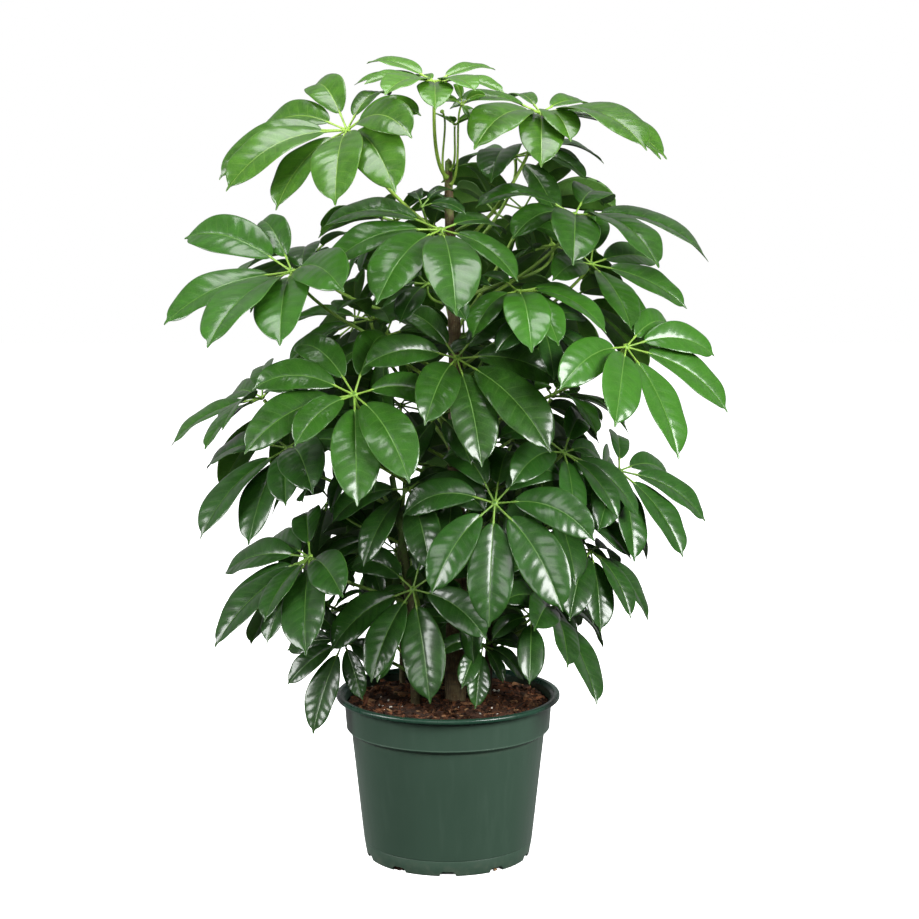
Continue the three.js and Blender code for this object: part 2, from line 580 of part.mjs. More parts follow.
// Marks of the pot, the soil's surface and the stems
for (let a = 0; a < 360; a += 1) {
  const [cx, sx] = [Math.cos(a * DEG), Math.sin(a * DEG)];
  for (let z = 70; z <= POT_H; z += 3) {
    const r = z > LIP_LOW_Z ? RIM_R - 2 : BODY_LOW_R + (z - BODY_LOW_Z) * WALL_SLOPE;
    mark(V(r * cx, r * sx, z), FIXED);
  }
  mark(V(RIM_R * cx, RIM_R * sx, POT_H - 3), FIXED);
  for (let r = 2; r < BAND_TOP_R; r += 3) mark(V(r * cx, r * sx, SOIL_Z + 2.5), FIXED);
}
for (const name of Object.keys(STEMS)) {
  const pts = STEMS[name].points;
  for (let z = 178; z < pts.at(-1)[2] + 4; z += 2.5) {
    const { c, r } = stemAt(name, Math.min(z, pts.at(-1)[2]));
    for (let a = 0; a < 360; a += 15) {
      mark(V(c.x + r * Math.cos(a * DEG), c.y + r * Math.sin(a * DEG), z), FIXED);
    }
  }
}

const leaves = LEAVES.map((row, i) => {
  const [x, y, z, azimuth, tilt, length, droop, lift, stem, joint, leaflets] = row;
  const leaf = { number: i + 1, hub: V(x, y, z), frame: hubFrame(azimuth, tilt), leaflets,
    length, droop, lift, stem, joint, ribs: [] };
  leaf.hubR = 1.9 + 0.02 * length;
  leaf.stalkR = Math.min(STALK_R, 0.5 + 0.012 * length);
  leaf.petioleR = Math.min(2, 0.9 + 0.012 * length);
  leaf.stalk = leafStalk(leaf);
  return leaf;
});
for (const leaf of leaves) {
  const id = leaf.number * MARKS + MARKS - 1;
  const reach = leaf.stalk.curve.getLength();
  const count = Math.ceil(reach / 2);
  for (let s = 0; s <= count; s++) {
    const c = leaf.stalk.curve.getPoint(s / count);
    for (const [i, j] of [[0, 0], [1, 0], [-1, 0], [0, 1], [0, -1]]) {
      mark(V(c.x + 2 * i, c.y + 2 * j, c.z), id);
    }
  }
}
const regular = (leaf) => leaf.leaflets[0].length === 3;
for (const leaf of leaves) if (!regular(leaf)) placeLeaflets(leaf);
for (const leaf of leaves) if (regular(leaf)) placeLeaflets(leaf);

const model = new THREE.Group();
function piece(name, geometry, material) {
  const mesh = new THREE.Mesh(geometry, material);
  mesh.name = name;
  model.add(mesh);
}
piece('pot', potSolid(), POT_LOOK);
piece('soil', soilSolid(), SOIL_LOOK);
for (const name of Object.keys(STEMS)) {
  piece(name, stemSolid(name), name === 'trunk' ? BARK_LOOK : SHOOT_LOOK);
}
for (const leaf of leaves) {
  const tone = leaf.hub.z > 800 ? YOUNG_LOOK : leaf.hub.z > 500 ? LEAF_LOOK : OLD_LOOK;
  piece(`leaf_${String(leaf.number).padStart(2, '0')}`, leafSolid(leaf), tone);
}

export default model;
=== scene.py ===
# Umbrella plant (Schefflera) in a ten inch nursery pot, dressed in its real materials.
# Metres, +Z up. The origin is the middle of the pot's flat underside, and the front faces -Y.
import bpy
import numpy as np
from mathutils import Euler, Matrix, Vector


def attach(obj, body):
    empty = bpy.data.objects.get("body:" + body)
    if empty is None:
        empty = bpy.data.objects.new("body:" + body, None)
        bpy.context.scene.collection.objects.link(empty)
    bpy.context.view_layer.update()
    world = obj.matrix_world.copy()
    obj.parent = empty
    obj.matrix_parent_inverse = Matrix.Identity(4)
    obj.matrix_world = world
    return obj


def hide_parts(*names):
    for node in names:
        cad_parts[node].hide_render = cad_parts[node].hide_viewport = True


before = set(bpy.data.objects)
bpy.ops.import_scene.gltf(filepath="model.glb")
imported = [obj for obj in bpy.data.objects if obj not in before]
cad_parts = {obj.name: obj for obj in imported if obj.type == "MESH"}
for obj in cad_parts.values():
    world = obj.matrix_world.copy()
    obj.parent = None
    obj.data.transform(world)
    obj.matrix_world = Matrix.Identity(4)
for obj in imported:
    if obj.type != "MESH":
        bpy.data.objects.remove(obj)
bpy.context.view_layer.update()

# The pot
# One cup of polypropylene, injection moulded in dark green: a tapered body with a collar, a
# rolled lip that stiffens it, and ten drain slots cut through the foot.
MM = 0.001
LIP_R = 127
LIP_LOW_R = 120.6
LIP_LOW = 182.8
POT_H = 188
WALL = 1.6
FOOT_R = 93
COLLAR_TOP_R = 118
COLLAR_LOW_R = 115.6
COLLAR_LOW = 149.5
BODY_TOP_R = 109.9
BODY_TOP = 145
SHOULDER_IN = 1.2
BODY_LOW_R = 96.1
BODY_LOW = 18
FLOOR_T = 2
POT_SIDES = 180
SLOTS = 10
SLOT_W = 19
SLOT_H = 5.5
SLOT_IN_R = 84
POT_GREEN = "#364b3e"
LIP_GREEN = "#17382a"
POT_SHADE = "#304538"
POT_STREAK = "#405648"
# Paler green painted along the bead under the collar as a painted highlight.
CREASE_HIGHLIGHT_GREEN = "#55705f"
POT_DUST = "#8d8a78"
SMOOTH = {"interpolation_type": "SMOOTHSTEP"}


def linear(colour):
    """An sRGB hex colour as linear red, green, blue and alpha: each channel c over 0.04 becomes
    ((c + 0.055) / 1.055) to the power 2.4."""
    c = np.array([int(colour[i:i + 2], 16) for i in (1, 3, 5)]) / 255
    c = np.where(c <= 0.04045, c / 12.92, ((c + 0.055) / 1.055) ** 2.4)
    return [*map(float, c), 1.0]


def rounded(corners, steps=5):
    """A profile of [radius, height, cut] corners with each corner cut back by its third number and
    bridged by the parabola (1-u)^2 a + 2u(1-u) corner + u^2 b between the two cut points."""
    corners = np.array(corners, float)
    points = corners[:, :2]
    out = [points[:1]]
    u = np.linspace(0, 1, steps + 1)[:, None]
    for before, (p, cut), after in zip(points, zip(points[1:], corners[1:, 2]), points[2:]):
        if cut == 0:
            out.append(p[None])
            continue
        a = p + (before - p) * cut / np.linalg.norm(before - p)
        b = p + (after - p) * cut / np.linalg.norm(after - p)
        out.append((1 - u) ** 2 * a + 2 * u * (1 - u) * p + u ** 2 * b)
    return np.vstack(out + [points[-1:]])


def skin(rings, low, high):
    """Closed skin through rings of points, closed at each end by one pole. Ring k and ring k+1
    share quads (k,i) (k,i+1) (k+1,i+1) (k+1,i). Returns points, quads and triangles."""
    rows, sides = rings.shape[:2]
    points = np.vstack([rings.reshape(-1, 3), [low], [high]])
    i = np.arange(sides)
    j = (i + 1) % sides
    base = (np.arange(rows - 1) * sides)[:, None]
    quads = np.stack([base + i, base + j, base + sides + j, base + sides + i], -1).reshape(-1, 4)
    last = (rows - 1) * sides
    start = np.stack([np.full(sides, rows * sides), j, i], -1)
    end = np.stack([np.full(sides, rows * sides + 1), last + i, last + j], -1)
    return points, quads, np.vstack([start, end])


def turned(profile, sides):
    """The profile of radius and height turned about Z: point (k,i) is (r_k cos a_i, r_k sin a_i,
    z_k) with a_i in equal steps. The profile's ends lie on the axis and become the poles."""
    a = np.linspace(0, 2 * np.pi, sides, endpoint=False)
    r, z = profile[1:-1, :1], profile[1:-1, 1:]
    rings = np.stack([r * np.cos(a), r * np.sin(a), np.broadcast_to(z, (len(r), sides))], -1)
    return skin(rings, [0, 0, profile[0, 1]], [0, 0, profile[-1, 1]])


def piece(name, parts, materials, smooth=True, notes=None):
    """One object from closed skins given in mm as (points, quads, triangles[, material of each
    quad]). notes is a dict of numbers for each point, kept as attributes the materials read."""
    co, loops, starts, finish, count, corner = [], [], [], [], 0, 0
    for points, quads, triangles, *of_quad in parts:
        for faces, of_face in ((quads, of_quad[0] if of_quad else 0), (triangles, 0)):
            loops.append((faces + count).ravel())
            starts.append(corner + np.arange(len(faces)) * faces.shape[1])
            finish.append(np.broadcast_to(of_face, len(faces)))
            corner += faces.size
        co.append(points)
        count += len(points)
    mesh = bpy.data.meshes.new(name)
    mesh.vertices.add(count)
    mesh.vertices.foreach_set("co", (np.vstack(co) * MM).astype(np.float32).ravel())
    mesh.loops.add(corner)
    mesh.loops.foreach_set("vertex_index", np.concatenate(loops).astype(np.int32))
    starts = np.concatenate(starts)
    mesh.polygons.add(len(starts))
    mesh.polygons.foreach_set("loop_start", starts.astype(np.int32))
    for material in materials:
        mesh.materials.append(material)
    mesh.polygons.foreach_set("material_index", np.concatenate(finish).astype(np.int32))
    mesh.polygons.foreach_set("use_smooth", np.full(len(starts), smooth))
    for note, values in (notes or {}).items():
        layer = mesh.attributes.new(note, "FLOAT", "POINT")
        layer.data.foreach_set("value", np.concatenate(values).astype(np.float32))
    mesh.update(calc_edges=True)
    made = bpy.data.objects.new(name, mesh)
    bpy.context.scene.collection.objects.link(made)
    return made


def cut_away(body, tool):
    """Takes the tool's volume out of the body with a Boolean, then drops the tool."""
    step = body.modifiers.new("cut", "BOOLEAN")
    step.object = tool
    step.operation = "DIFFERENCE"
    step.solver = "MANIFOLD"
    bpy.context.view_layer.objects.active = body
    bpy.ops.object.modifier_apply(modifier=step.name)
    bpy.data.objects.remove(tool)


def new_material(name):
    """A material with nothing but its output and one Principled shader: itself, its tree, the
    shader."""
    made = bpy.data.materials.new(name)
    made.use_nodes = True
    return made, made.node_tree, made.node_tree.nodes["Principled BSDF"]


def add(tree, kind, inputs=None, out=0, **settings):
    """Adds one shader node and gives back its output. settings are its properties. inputs gives
    a socket, by name or number, a plain value, an sRGB hex colour or another node's output."""
    made = tree.nodes.new("ShaderNode" + kind)
    for key, value in settings.items():
        setattr(made, key, value)
    fill(tree, made, inputs or {})
    return made.outputs[out]


def fill(tree, node, inputs):
    """Gives each named or numbered input of a node its value, hex colour or link."""
    for key, value in inputs.items():
        if isinstance(value, bpy.types.NodeSocket):
            tree.links.new(value, node.inputs[key])
        else:
            node.inputs[key].default_value = linear(value) if isinstance(value, str) else value


pot_profile = rounded([
    [0, 0, 0], [FOOT_R, 0, 1.6], [BODY_LOW_R - 0.15, BODY_LOW - 0.9, 0], [BODY_LOW_R - 0.5, BODY_LOW, 0.3],
    [BODY_LOW_R + 0.1, BODY_LOW + 0.8, 0.2], [BODY_TOP_R, BODY_TOP, 1.2],
    [COLLAR_LOW_R - 0.9, COLLAR_LOW - 1.4, 0.8], [COLLAR_LOW_R + 0.2, COLLAR_LOW, 0.5],
    [COLLAR_LOW_R, COLLAR_LOW + 0.9, 0.3], [COLLAR_TOP_R, LIP_LOW, 0.7], [LIP_R, LIP_LOW, 2.2],
    [LIP_R, POT_H, 2.5], [LIP_LOW_R, POT_H, 1.6], [COLLAR_TOP_R - WALL, POT_H - 4, 1.4],
    [COLLAR_LOW_R - WALL, COLLAR_LOW + SHOULDER_IN, 2], [BODY_TOP_R - WALL, BODY_TOP + SHOULDER_IN, 2],
    [BODY_LOW_R - WALL, BODY_LOW, 0], [FOOT_R - WALL, FLOOR_T, 1.5], [0, FLOOR_T, 0]])
pot_skin = turned(pot_profile, POT_SIDES)

slot_edge = rounded([
    [0, -1, 0], [SLOT_W / 2, -1, 0], [SLOT_W / 2 - 1.2, SLOT_H - 1.6, 1.6], [SLOT_W / 2 - 3.6, SLOT_H, 1.6],
    [-SLOT_W / 2 + 3.6, SLOT_H, 1.6], [-SLOT_W / 2 + 1.2, SLOT_H - 1.6, 1.6], [-SLOT_W / 2, -1, 0],
    [0, -1, 0]])[:-1]


def slot_cutter(turn):
    """A bar with the slot's outline, drawn out along the pot's radius at the given turn."""
    depth = np.array([-(SLOT_IN_R + 16), -SLOT_IN_R])
    rings = np.stack([np.stack([slot_edge[:, 0], np.full(len(slot_edge), y), slot_edge[:, 1]], -1)
                      for y in depth])
    c, s = np.cos(turn), np.sin(turn)
    rings = rings @ np.array([[c, s, 0], [-s, c, 0], [0, 0, 1]])
    points, quads, triangles = skin(rings, rings[0].mean(0), rings[1].mean(0))
    return points, quads[:, ::-1], triangles[:, ::-1]


def polypropylene():
    """Injection-moulded polypropylene. The spark-eroded mould gives the body a satin grain under a
    millimetre across, the lip is smoother and darker, and dust settles in the crease and at the
    foot."""
    material, tree, shader = new_material("injection_moulded_polypropylene")
    where = add(tree, "TexCoord", out="Object")
    height = add(tree, "SeparateXYZ", {0: where}, out="Z")
    drawn = add(tree, "Mapping", {"Vector": where, "Scale": (1, 1, 0.06)})
    cloud = add(tree, "TexNoise", {"Vector": where, "Scale": 1 / (60 * MM)})
    streak = add(tree, "TexNoise", {"Vector": drawn, "Scale": 1 / (7 * MM)})
    grain = add(tree, "TexNoise", {"Vector": where, "Scale": 1 / (0.8 * MM)})
    grime = add(tree, "TexNoise", {"Vector": where, "Scale": 1 / (9 * MM), "Detail": 4.0})
    lip = add(tree, "MapRange", {0: height, 1: (LIP_LOW - 1) * MM, 2: (LIP_LOW + 0.4) * MM}, **SMOOTH)
    cloud = add(tree, "MapRange", {0: cloud, 1: 0.3, 2: 0.7, 4: 0.35}, **SMOOTH)
    pale = add(tree, "MapRange", {0: streak, 1: 0.5, 2: 0.8, 4: 0.22}, **SMOOTH)
    foot = add(tree, "MapRange", {0: height, 1: MM, 2: (BODY_LOW + 4) * MM, 3: 1.0, 4: 0.0}, **SMOOTH)
    under = add(tree, "MapRange", {0: height, 1: (BODY_TOP - 6) * MM, 2: (BODY_TOP - 0.5) * MM}, **SMOOTH)
    above = add(tree, "MapRange", {0: height, 1: (BODY_TOP + 0.2) * MM, 2: (COLLAR_LOW - 1) * MM,
                                   3: 0.4, 4: 0.0}, **SMOOTH)
    ledge = add(tree, "Math", {0: under, 1: above}, operation="MULTIPLY")
    low = add(tree, "Math", {0: foot, 1: ledge}, operation="MAXIMUM")
    patchy = add(tree, "MapRange", {0: grime, 1: 0.35, 2: 0.75, 4: 0.12}, **SMOOTH)
    dust = add(tree, "Math", {0: low, 1: patchy}, operation="MULTIPLY")
    # The bead under the collar gets a paler green there: a painted highlight, not a colour of the plastic.
    rising = add(tree, "MapRange", {0: height, 1: (COLLAR_LOW - 1.1) * MM,
                                    2: (COLLAR_LOW - 0.2) * MM}, **SMOOTH)
    falling = add(tree, "MapRange", {0: height, 1: (COLLAR_LOW + 0.2) * MM,
                                     2: (COLLAR_LOW + 1) * MM, 3: 0.4, 4: 0.0}, **SMOOTH)
    crease_highlight = add(tree, "Math", {0: rising, 1: falling}, operation="MULTIPLY")
    green = add(tree, "Mix", {0: lip, 6: POT_GREEN, 7: LIP_GREEN}, 2, data_type="RGBA")
    green = add(tree, "Mix", {0: cloud, 6: green, 7: POT_SHADE}, 2, data_type="RGBA")
    green = add(tree, "Mix", {0: pale, 6: green, 7: POT_STREAK}, 2, data_type="RGBA")
    green = add(tree, "Mix", {0: dust, 6: green, 7: POT_DUST}, 2, data_type="RGBA")
    green = add(tree, "Mix", {0: crease_highlight, 6: green, 7: CREASE_HIGHLIGHT_GREEN}, 2, data_type="RGBA")
    rough = add(tree, "MapRange", {0: streak, 1: 0.3, 2: 0.8, 3: 0.36, 4: 0.46}, **SMOOTH)
    rough = add(tree, "Math", {0: lip, 1: -0.1, 2: rough}, operation="MULTIPLY_ADD")
    rough = add(tree, "Math", {0: dust, 1: 0.6, 2: rough}, operation="MULTIPLY_ADD")
    bump = add(tree, "Bump", {"Height": grain, "Strength": 0.25, "Distance": 0.2 * MM})
    fill(tree, shader, {"Base Color": green, "Roughness": rough, "IOR": 1.49, "Normal": bump,
                        "Coat Weight": 0.06, "Coat Roughness": 0.25})
    return material


POT_FINISH = polypropylene()
pot = piece("nursery_pot", [pot_skin], [POT_FINISH])
turns = 2 * np.pi * np.arange(SLOTS) / SLOTS
cut_away(pot, piece("slot_cutters", [slot_cutter(turn) for turn in turns], [POT_FINISH]))
pot.data.set_sharp_from_angle(angle=np.radians(38))
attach(pot, "root")
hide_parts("pot")

# The stems
# Five shoots rooted in the mix. The old wood is corky grey brown with a ring scar where each
# dropped leaf stood, and the last year's growth near the tip is still green and smooth.
GAP = 0.3
CRACK_BROWN = "#3b2f22"
PORE_TAN = "#a2977c"
SCAR_BROWN = "#4a3d2b"
STEMS = {
    "trunk": [10, [8, 0, 110, 12.6], [8, 0, 190, 12.2], [10, 0, 300, 11.2], [9, 0, 430, 9.6],
              [9, 0, 556, 7.8], [5, 0, 660, 6.2], [1, 0, 745, 4.9], [1, 0, 788, 3.9]],
    "stem_left": [8, [-36, -18, 110, 5.4], [-37, -19, 190, 5.2], [-42, -22, 290, 4.7],
                  [-52, -24, 380, 4.2], [-62, -26, 440, 3.4]],
    "stem_right": [8, [42, 14, 110, 5.6], [44, 15, 190, 5.4], [52, 14, 290, 4.8],
                   [66, 10, 370, 4.2], [80, 8, 420, 3.4]],
    "stem_back": [8, [28, 62, 110, 5.6], [29, 64, 190, 5.4], [33, 72, 290, 4.9],
                  [36, 80, 390, 4.2], [40, 86, 440, 3.4]],
    "stem_thin": [8, [-54, 82, 110, 3.4], [-54, 84, 190, 3.3], [-55, 92, 290, 3.1],
                  [-58, 98, 370, 2.8], [-60, 100, 400, 2.6]],
}


def stem_line(name, z):
    """Centre x and y and radius of a stem at each height, straight between its listed points."""
    points = np.array(STEMS[name][1:], float)
    return np.stack([np.interp(z, points[:, 2], points[:, k]) for k in (0, 1, 3)])


def stem_skin(name, rng):
    """Rings of a stem every 2.5 mm: the listed line eased over 30 mm, with radius times 1 plus a
    bell of 3 mm at each scar. A scar reaches most of the way round, and its bud side is smooth."""
    top = STEMS[name][-1][2]
    z = np.arange(112, top + 1, 2.5)
    eased = np.mean([stem_line(name, z + d) for d in (-14, -7, 0, 7, 14)], axis=0)
    x, y, r = np.where(z < top - 16, eased, stem_line(name, z))
    sides = 24 if name == "trunk" else 16
    a = np.linspace(0, 2 * np.pi, sides, endpoint=False)
    scars = rng.uniform(188, top - 40, int((top - 188) / 22))
    facing = rng.uniform(0, 2 * np.pi, len(scars))
    away = z[:, None, None] - scars - 1.5 * np.cos(a[:, None] - facing)
    bell = np.exp(-(away / 1.6) ** 2) * (0.55 + 0.45 * np.cos(a[:, None] - facing))
    scar = bell.max(-1)
    lump = 0.012 * np.sin(3 * a + z[:, None] / 23) + 0.012 * np.sin(5 * a - z[:, None] / 11)
    r = r[:, None] * (1 + lump) + np.minimum(0.5, 0.09 * r[:, None]) * scar
    rings = np.stack([x[:, None] + r * np.cos(a), y[:, None] + r * np.sin(a),
                      np.broadcast_to(z[:, None], r.shape)], -1)
    low = [x[0], y[0], z[0]]
    high = [x[-1], y[-1], z[-1] + r[-1].mean()]
    points, quads, triangles = skin(rings, low, high)
    return (points, quads, triangles), np.concatenate([scar.ravel(), [0, 0]])


def bark(name, green_from, green_to, wood, cork, shoot):
    """Young bark: it turns from green skin to wood over the heights given in mm, with corky
    patches of 9 mm, long fine cracks, pale raised pores and a dark line in each scar."""
    material, tree, shader = new_material(name)
    where = add(tree, "TexCoord", out="Object")
    height = add(tree, "SeparateXYZ", {0: where}, out="Z")
    drawn = add(tree, "Mapping", {"Vector": where, "Scale": (1, 1, 0.18)})
    patch = add(tree, "TexNoise", {"Vector": where, "Scale": 1 / (9 * MM), "Detail": 4.0})
    crack = add(tree, "TexNoise", {"Vector": drawn, "Scale": 1 / (2.2 * MM), "Roughness": 0.7})
    pore = add(tree, "TexVoronoi", {"Vector": where, "Scale": 1 / (3.4 * MM)})
    scar = add(tree, "Attribute", out="Fac", attribute_name="scar")
    corky = add(tree, "MapRange", {0: patch, 1: 0.38, 2: 0.62}, **SMOOTH)
    dark = add(tree, "MapRange", {0: crack, 1: 0.35, 2: 0.6, 3: 0.6, 4: 0.0}, **SMOOTH)
    pore = add(tree, "MapRange", {0: pore, 1: 0.10, 2: 0.22, 3: 0.45, 4: 0.0}, **SMOOTH)
    ring = add(tree, "MapRange", {0: scar, 1: 0.25, 2: 0.9, 4: 0.55}, **SMOOTH)
    ragged = add(tree, "MapRange", {0: patch, 1: 0.2, 2: 0.8, 3: -0.05, 4: 0.05}, **SMOOTH)
    ragged = add(tree, "Math", {0: height, 1: ragged}, operation="ADD")
    fresh = add(tree, "MapRange", {0: ragged, 1: green_from * MM, 2: green_to * MM}, **SMOOTH)
    colour = add(tree, "Mix", {0: corky, 6: wood, 7: cork}, 2, data_type="RGBA")
    colour = add(tree, "Mix", {0: dark, 6: colour, 7: CRACK_BROWN}, 2, data_type="RGBA")
    colour = add(tree, "Mix", {0: fresh, 6: colour, 7: shoot}, 2, data_type="RGBA")
    colour = add(tree, "Mix", {0: pore, 6: colour, 7: PORE_TAN}, 2, data_type="RGBA")
    colour = add(tree, "Mix", {0: ring, 6: colour, 7: SCAR_BROWN}, 2, data_type="RGBA")
    rough = add(tree, "MapRange", {0: patch, 1: 0.3, 2: 0.7, 3: 0.62, 4: 0.82}, **SMOOTH)
    relief = add(tree, "Math", {0: pore, 1: crack}, operation="ADD")
    bump = add(tree, "Bump", {"Height": relief, "Strength": 0.55, "Distance": 0.6 * MM})
    fill(tree, shader, {"Base Color": colour, "Roughness": rough, "IOR": 1.45, "Normal": bump})
    return material


OLD_BARK = bark("corky_bark", 730, 800, "#625032", "#796c4c", "#6c8a3c")
# The side stems' bark: its green reaching lower is their own, and its browns are darker than the trunk's as
# painted shade, since these stems stand in the leaves' shadow.
SHOOT_BARK_WITH_PAINTED_SHADE = bark("green_brown_bark_with_painted_shade", 240, 420, "#524a2c", "#635c3c", "#527030")
STEM_PIECES = {"trunk": "main_stem", "stem_left": "left_stem", "stem_right": "right_stem",
               "stem_back": "back_stem", "stem_thin": "thin_stem"}
stem_skins = {}
for number, (name, label) in enumerate(STEM_PIECES.items()):
    stem_skins[name], scars = stem_skin(name, np.random.default_rng(number))
    stem = piece(label, [stem_skins[name]], [OLD_BARK if name == "trunk" else SHOOT_BARK_WITH_PAINTED_SHADE],
                 notes={"scar": [scars]})
    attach(stem, "root")
    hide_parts(name)

# The potting mix
# Peat and composted bark, filled round the roots to 12 mm under the lip. Broken bark, wood
# splinters and a few grains of white perlite lie loose on top, and crumbs fill one of the drain slots.
SOIL_Z = 176
SOIL_RISE = 3
SOIL_RIPPLE = 1.2
CHIPS = 5200
CHIP_FIELD_R = 112
PERLITE = 45
SLOT_LUMPS = 34
FILLED_SLOTS = [-1]
CRUMB_TURN = np.array([0, -0.13])
HOLE_LOW = 108
HOLE_HIGH = SOIL_Z + 8
HOLE_SIDES = 24
PEAT_BROWN = "#2a1a10"
BARK_BROWN = "#7a4a2c"
SPLINTER_TAN = "#b99065"
PERLITE_WHITE = "#e4e0d5"


def ripple(x, y):
    """Height of the loose surface: a mound that falls from the stems to the wall, plus twelve
    sine waves of 9 to 60 mm with seeded directions."""
    rng = np.random.default_rng(11)
    z = SOIL_Z + np.interp(np.hypot(x, y), [26, 58, 90, 113], [SOIL_RISE, 2.4, 1.2, 0])
    for wave in np.geomspace(60, 9, 12):
        a, phase = rng.uniform(0, 2 * np.pi, 2)
        z = z + SOIL_RIPPLE * (wave / 60) ** 0.5 * 0.5 * np.sin(
            (x * np.cos(a) + y * np.sin(a)) * 2 * np.pi / wave + phase)
    return z


def soil_skin(rng, sides=150):
    """The pot's inside drawn in by the clearance and turned about Z, with each point of its top
    moved to the ripple's height and half a millimetre more or less."""
    inner = WALL + GAP
    wall = [[0, FLOOR_T + GAP], [SLOT_IN_R - 1, FLOOR_T + GAP], [BODY_LOW_R - 5.5, 9],
            [BODY_LOW_R - inner, BODY_LOW], [BODY_TOP_R - inner - 0.4, BODY_TOP + SHOULDER_IN - 0.8],
            [COLLAR_LOW_R - inner - 0.6, COLLAR_LOW + 2 * SHOULDER_IN], [COLLAR_LOW_R - inner + 0.8, SOIL_Z]]
    top = np.linspace(COLLAR_LOW_R - inner - 0.6, 2, 54)
    profile = np.vstack([wall, np.stack([top, np.full(54, SOIL_Z)], -1), [[0, SOIL_Z]]])
    points, quads, triangles = turned(profile, sides)
    free = (points[:, 2] > SOIL_Z - 0.1) & (np.hypot(points[:, 0], points[:, 1]) < top[0] + 0.1)
    x, y = points[free, :2].T
    points[free, 2] = ripple(x, y) + rng.uniform(-0.5, 0.5, free.sum())
    return points, quads, triangles


def lumps(at, size, tilt, rng):
    """Broken lumps: each is a box of the given length, width and thickness whose eight corners
    are moved by up to a quarter of it, turned by a random yaw and by tilt on both level axes."""
    n = len(at)
    sign = np.array([[i, j, k] for k in (-1, 1) for j in (-1, 1) for i in (-1, 1)]) / 2
    box = (sign + rng.uniform(-0.25, 0.25, (n, 8, 3))) * size[:, None]
    yaw = rng.uniform(0, 2 * np.pi, n)
    for first, second, angle in ((1, 2, tilt[:, 0]), (0, 2, tilt[:, 1]), (0, 1, yaw)):
        a, b = box[..., first].copy(), box[..., second].copy()
        c, s = np.cos(angle)[:, None], np.sin(angle)[:, None]
        box[..., first], box[..., second] = a * c - b * s, a * s + b * c
    sides = np.array([[0, 2, 3], [0, 3, 1], [4, 5, 7], [4, 7, 6], [0, 1, 5], [0, 5, 4],
                      [2, 6, 7], [2, 7, 3], [0, 4, 6], [0, 6, 2], [1, 3, 7], [1, 7, 5]])
    faces = (sides + 8 * np.arange(n)[:, None, None]).reshape(-1, 3)
    return (box + at[:, None]).reshape(-1, 3), np.zeros((0, 4), int), faces


def scattered(rng, count, size):
    """Places on the soil, even over its disc, that keep a lump's length clear of every stem."""
    a, r = rng.uniform(0, 2 * np.pi, count), CHIP_FIELD_R * np.sqrt(rng.uniform(0, 1, count))
    r = np.minimum(r, CHIP_FIELD_R - size[:, 0] / 2)
    x, y = r * np.cos(a), r * np.sin(a)
    clear = np.ones(count, bool)
    for name in STEMS:
        sx, sy, sr = stem_line(name, SOIL_Z)
        clear &= np.hypot(x - sx, y - sy) > sr + size[:, 0] * 0.6
    return np.stack([x, y, ripple(x, y)], -1), clear


def potting_mix(name, peat, wood, splinter):
    """Damp peat and bark. It is matt and nearly black in its gaps, and each chip has its own
    brown, from wet bark to dry wood, with fibres a millimetre apart."""
    material, tree, shader = new_material(name)
    where = add(tree, "TexCoord", out="Object")
    tone = add(tree, "Attribute", out="Fac", attribute_name="tone")
    clod = add(tree, "TexNoise", {"Vector": where, "Scale": 1 / (5 * MM), "Detail": 5.0})
    fibre = add(tree, "TexNoise", {"Vector": where, "Scale": 1 / (1.1 * MM), "Detail": 3.0})
    brown = add(tree, "MapRange", {0: tone, 1: 0.0, 2: 0.7}, **SMOOTH)
    dry = add(tree, "MapRange", {0: tone, 1: 0.68, 2: 1.0}, **SMOOTH)
    spot = add(tree, "MapRange", {0: clod, 1: 0.35, 2: 0.7, 3: 0.75, 4: 0.0}, **SMOOTH)
    grain = add(tree, "MapRange", {0: fibre, 1: 0.3, 2: 0.7, 3: 0.4, 4: 0.0}, **SMOOTH)
    colour = add(tree, "Mix", {0: brown, 6: peat, 7: wood}, 2, data_type="RGBA")
    colour = add(tree, "Mix", {0: dry, 6: colour, 7: splinter}, 2, data_type="RGBA")
    dark = add(tree, "Math", {0: spot, 1: grain}, operation="MAXIMUM")
    colour = add(tree, "Mix", {0: dark, 6: colour, 7: peat}, 2, data_type="RGBA")
    rough = add(tree, "MapRange", {0: clod, 1: 0.3, 2: 0.7, 3: 0.72, 4: 0.95}, **SMOOTH)
    bump = add(tree, "Bump", {"Height": fibre, "Strength": 0.7, "Distance": 0.8 * MM})
    fill(tree, shader, {"Base Color": colour, "Roughness": rough, "IOR": 1.4, "Normal": bump})
    return material


MIX_FINISH = potting_mix("peat_and_composted_bark", PEAT_BROWN, BARK_BROWN, SPLINTER_TAN)
PERLITE_FINISH = potting_mix("expanded_perlite", "#a8a398", PERLITE_WHITE, "#f2efe8")
rng = np.random.default_rng(5)
mix = soil_skin(rng)
soil = piece("potting_mix", [mix], [MIX_FINISH],
             notes={"tone": [rng.uniform(0.05, 0.5, len(mix[0]))]})
for name in STEMS:
    z = np.array([HOLE_LOW, HOLE_HIGH])
    x, y, r = stem_line(name, z)[..., None]
    a = np.linspace(0, 2 * np.pi, HOLE_SIDES, endpoint=False)
    hole = np.stack([x + (r + GAP) * np.cos(a), y + (r + GAP) * np.sin(a),
                     np.repeat(z[:, None], HOLE_SIDES, 1)], -1)
    cut_away(soil, piece("hole", [skin(hole, hole[0].mean(0), hole[1].mean(0))], [MIX_FINISH]))
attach(soil, "root")
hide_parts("soil")

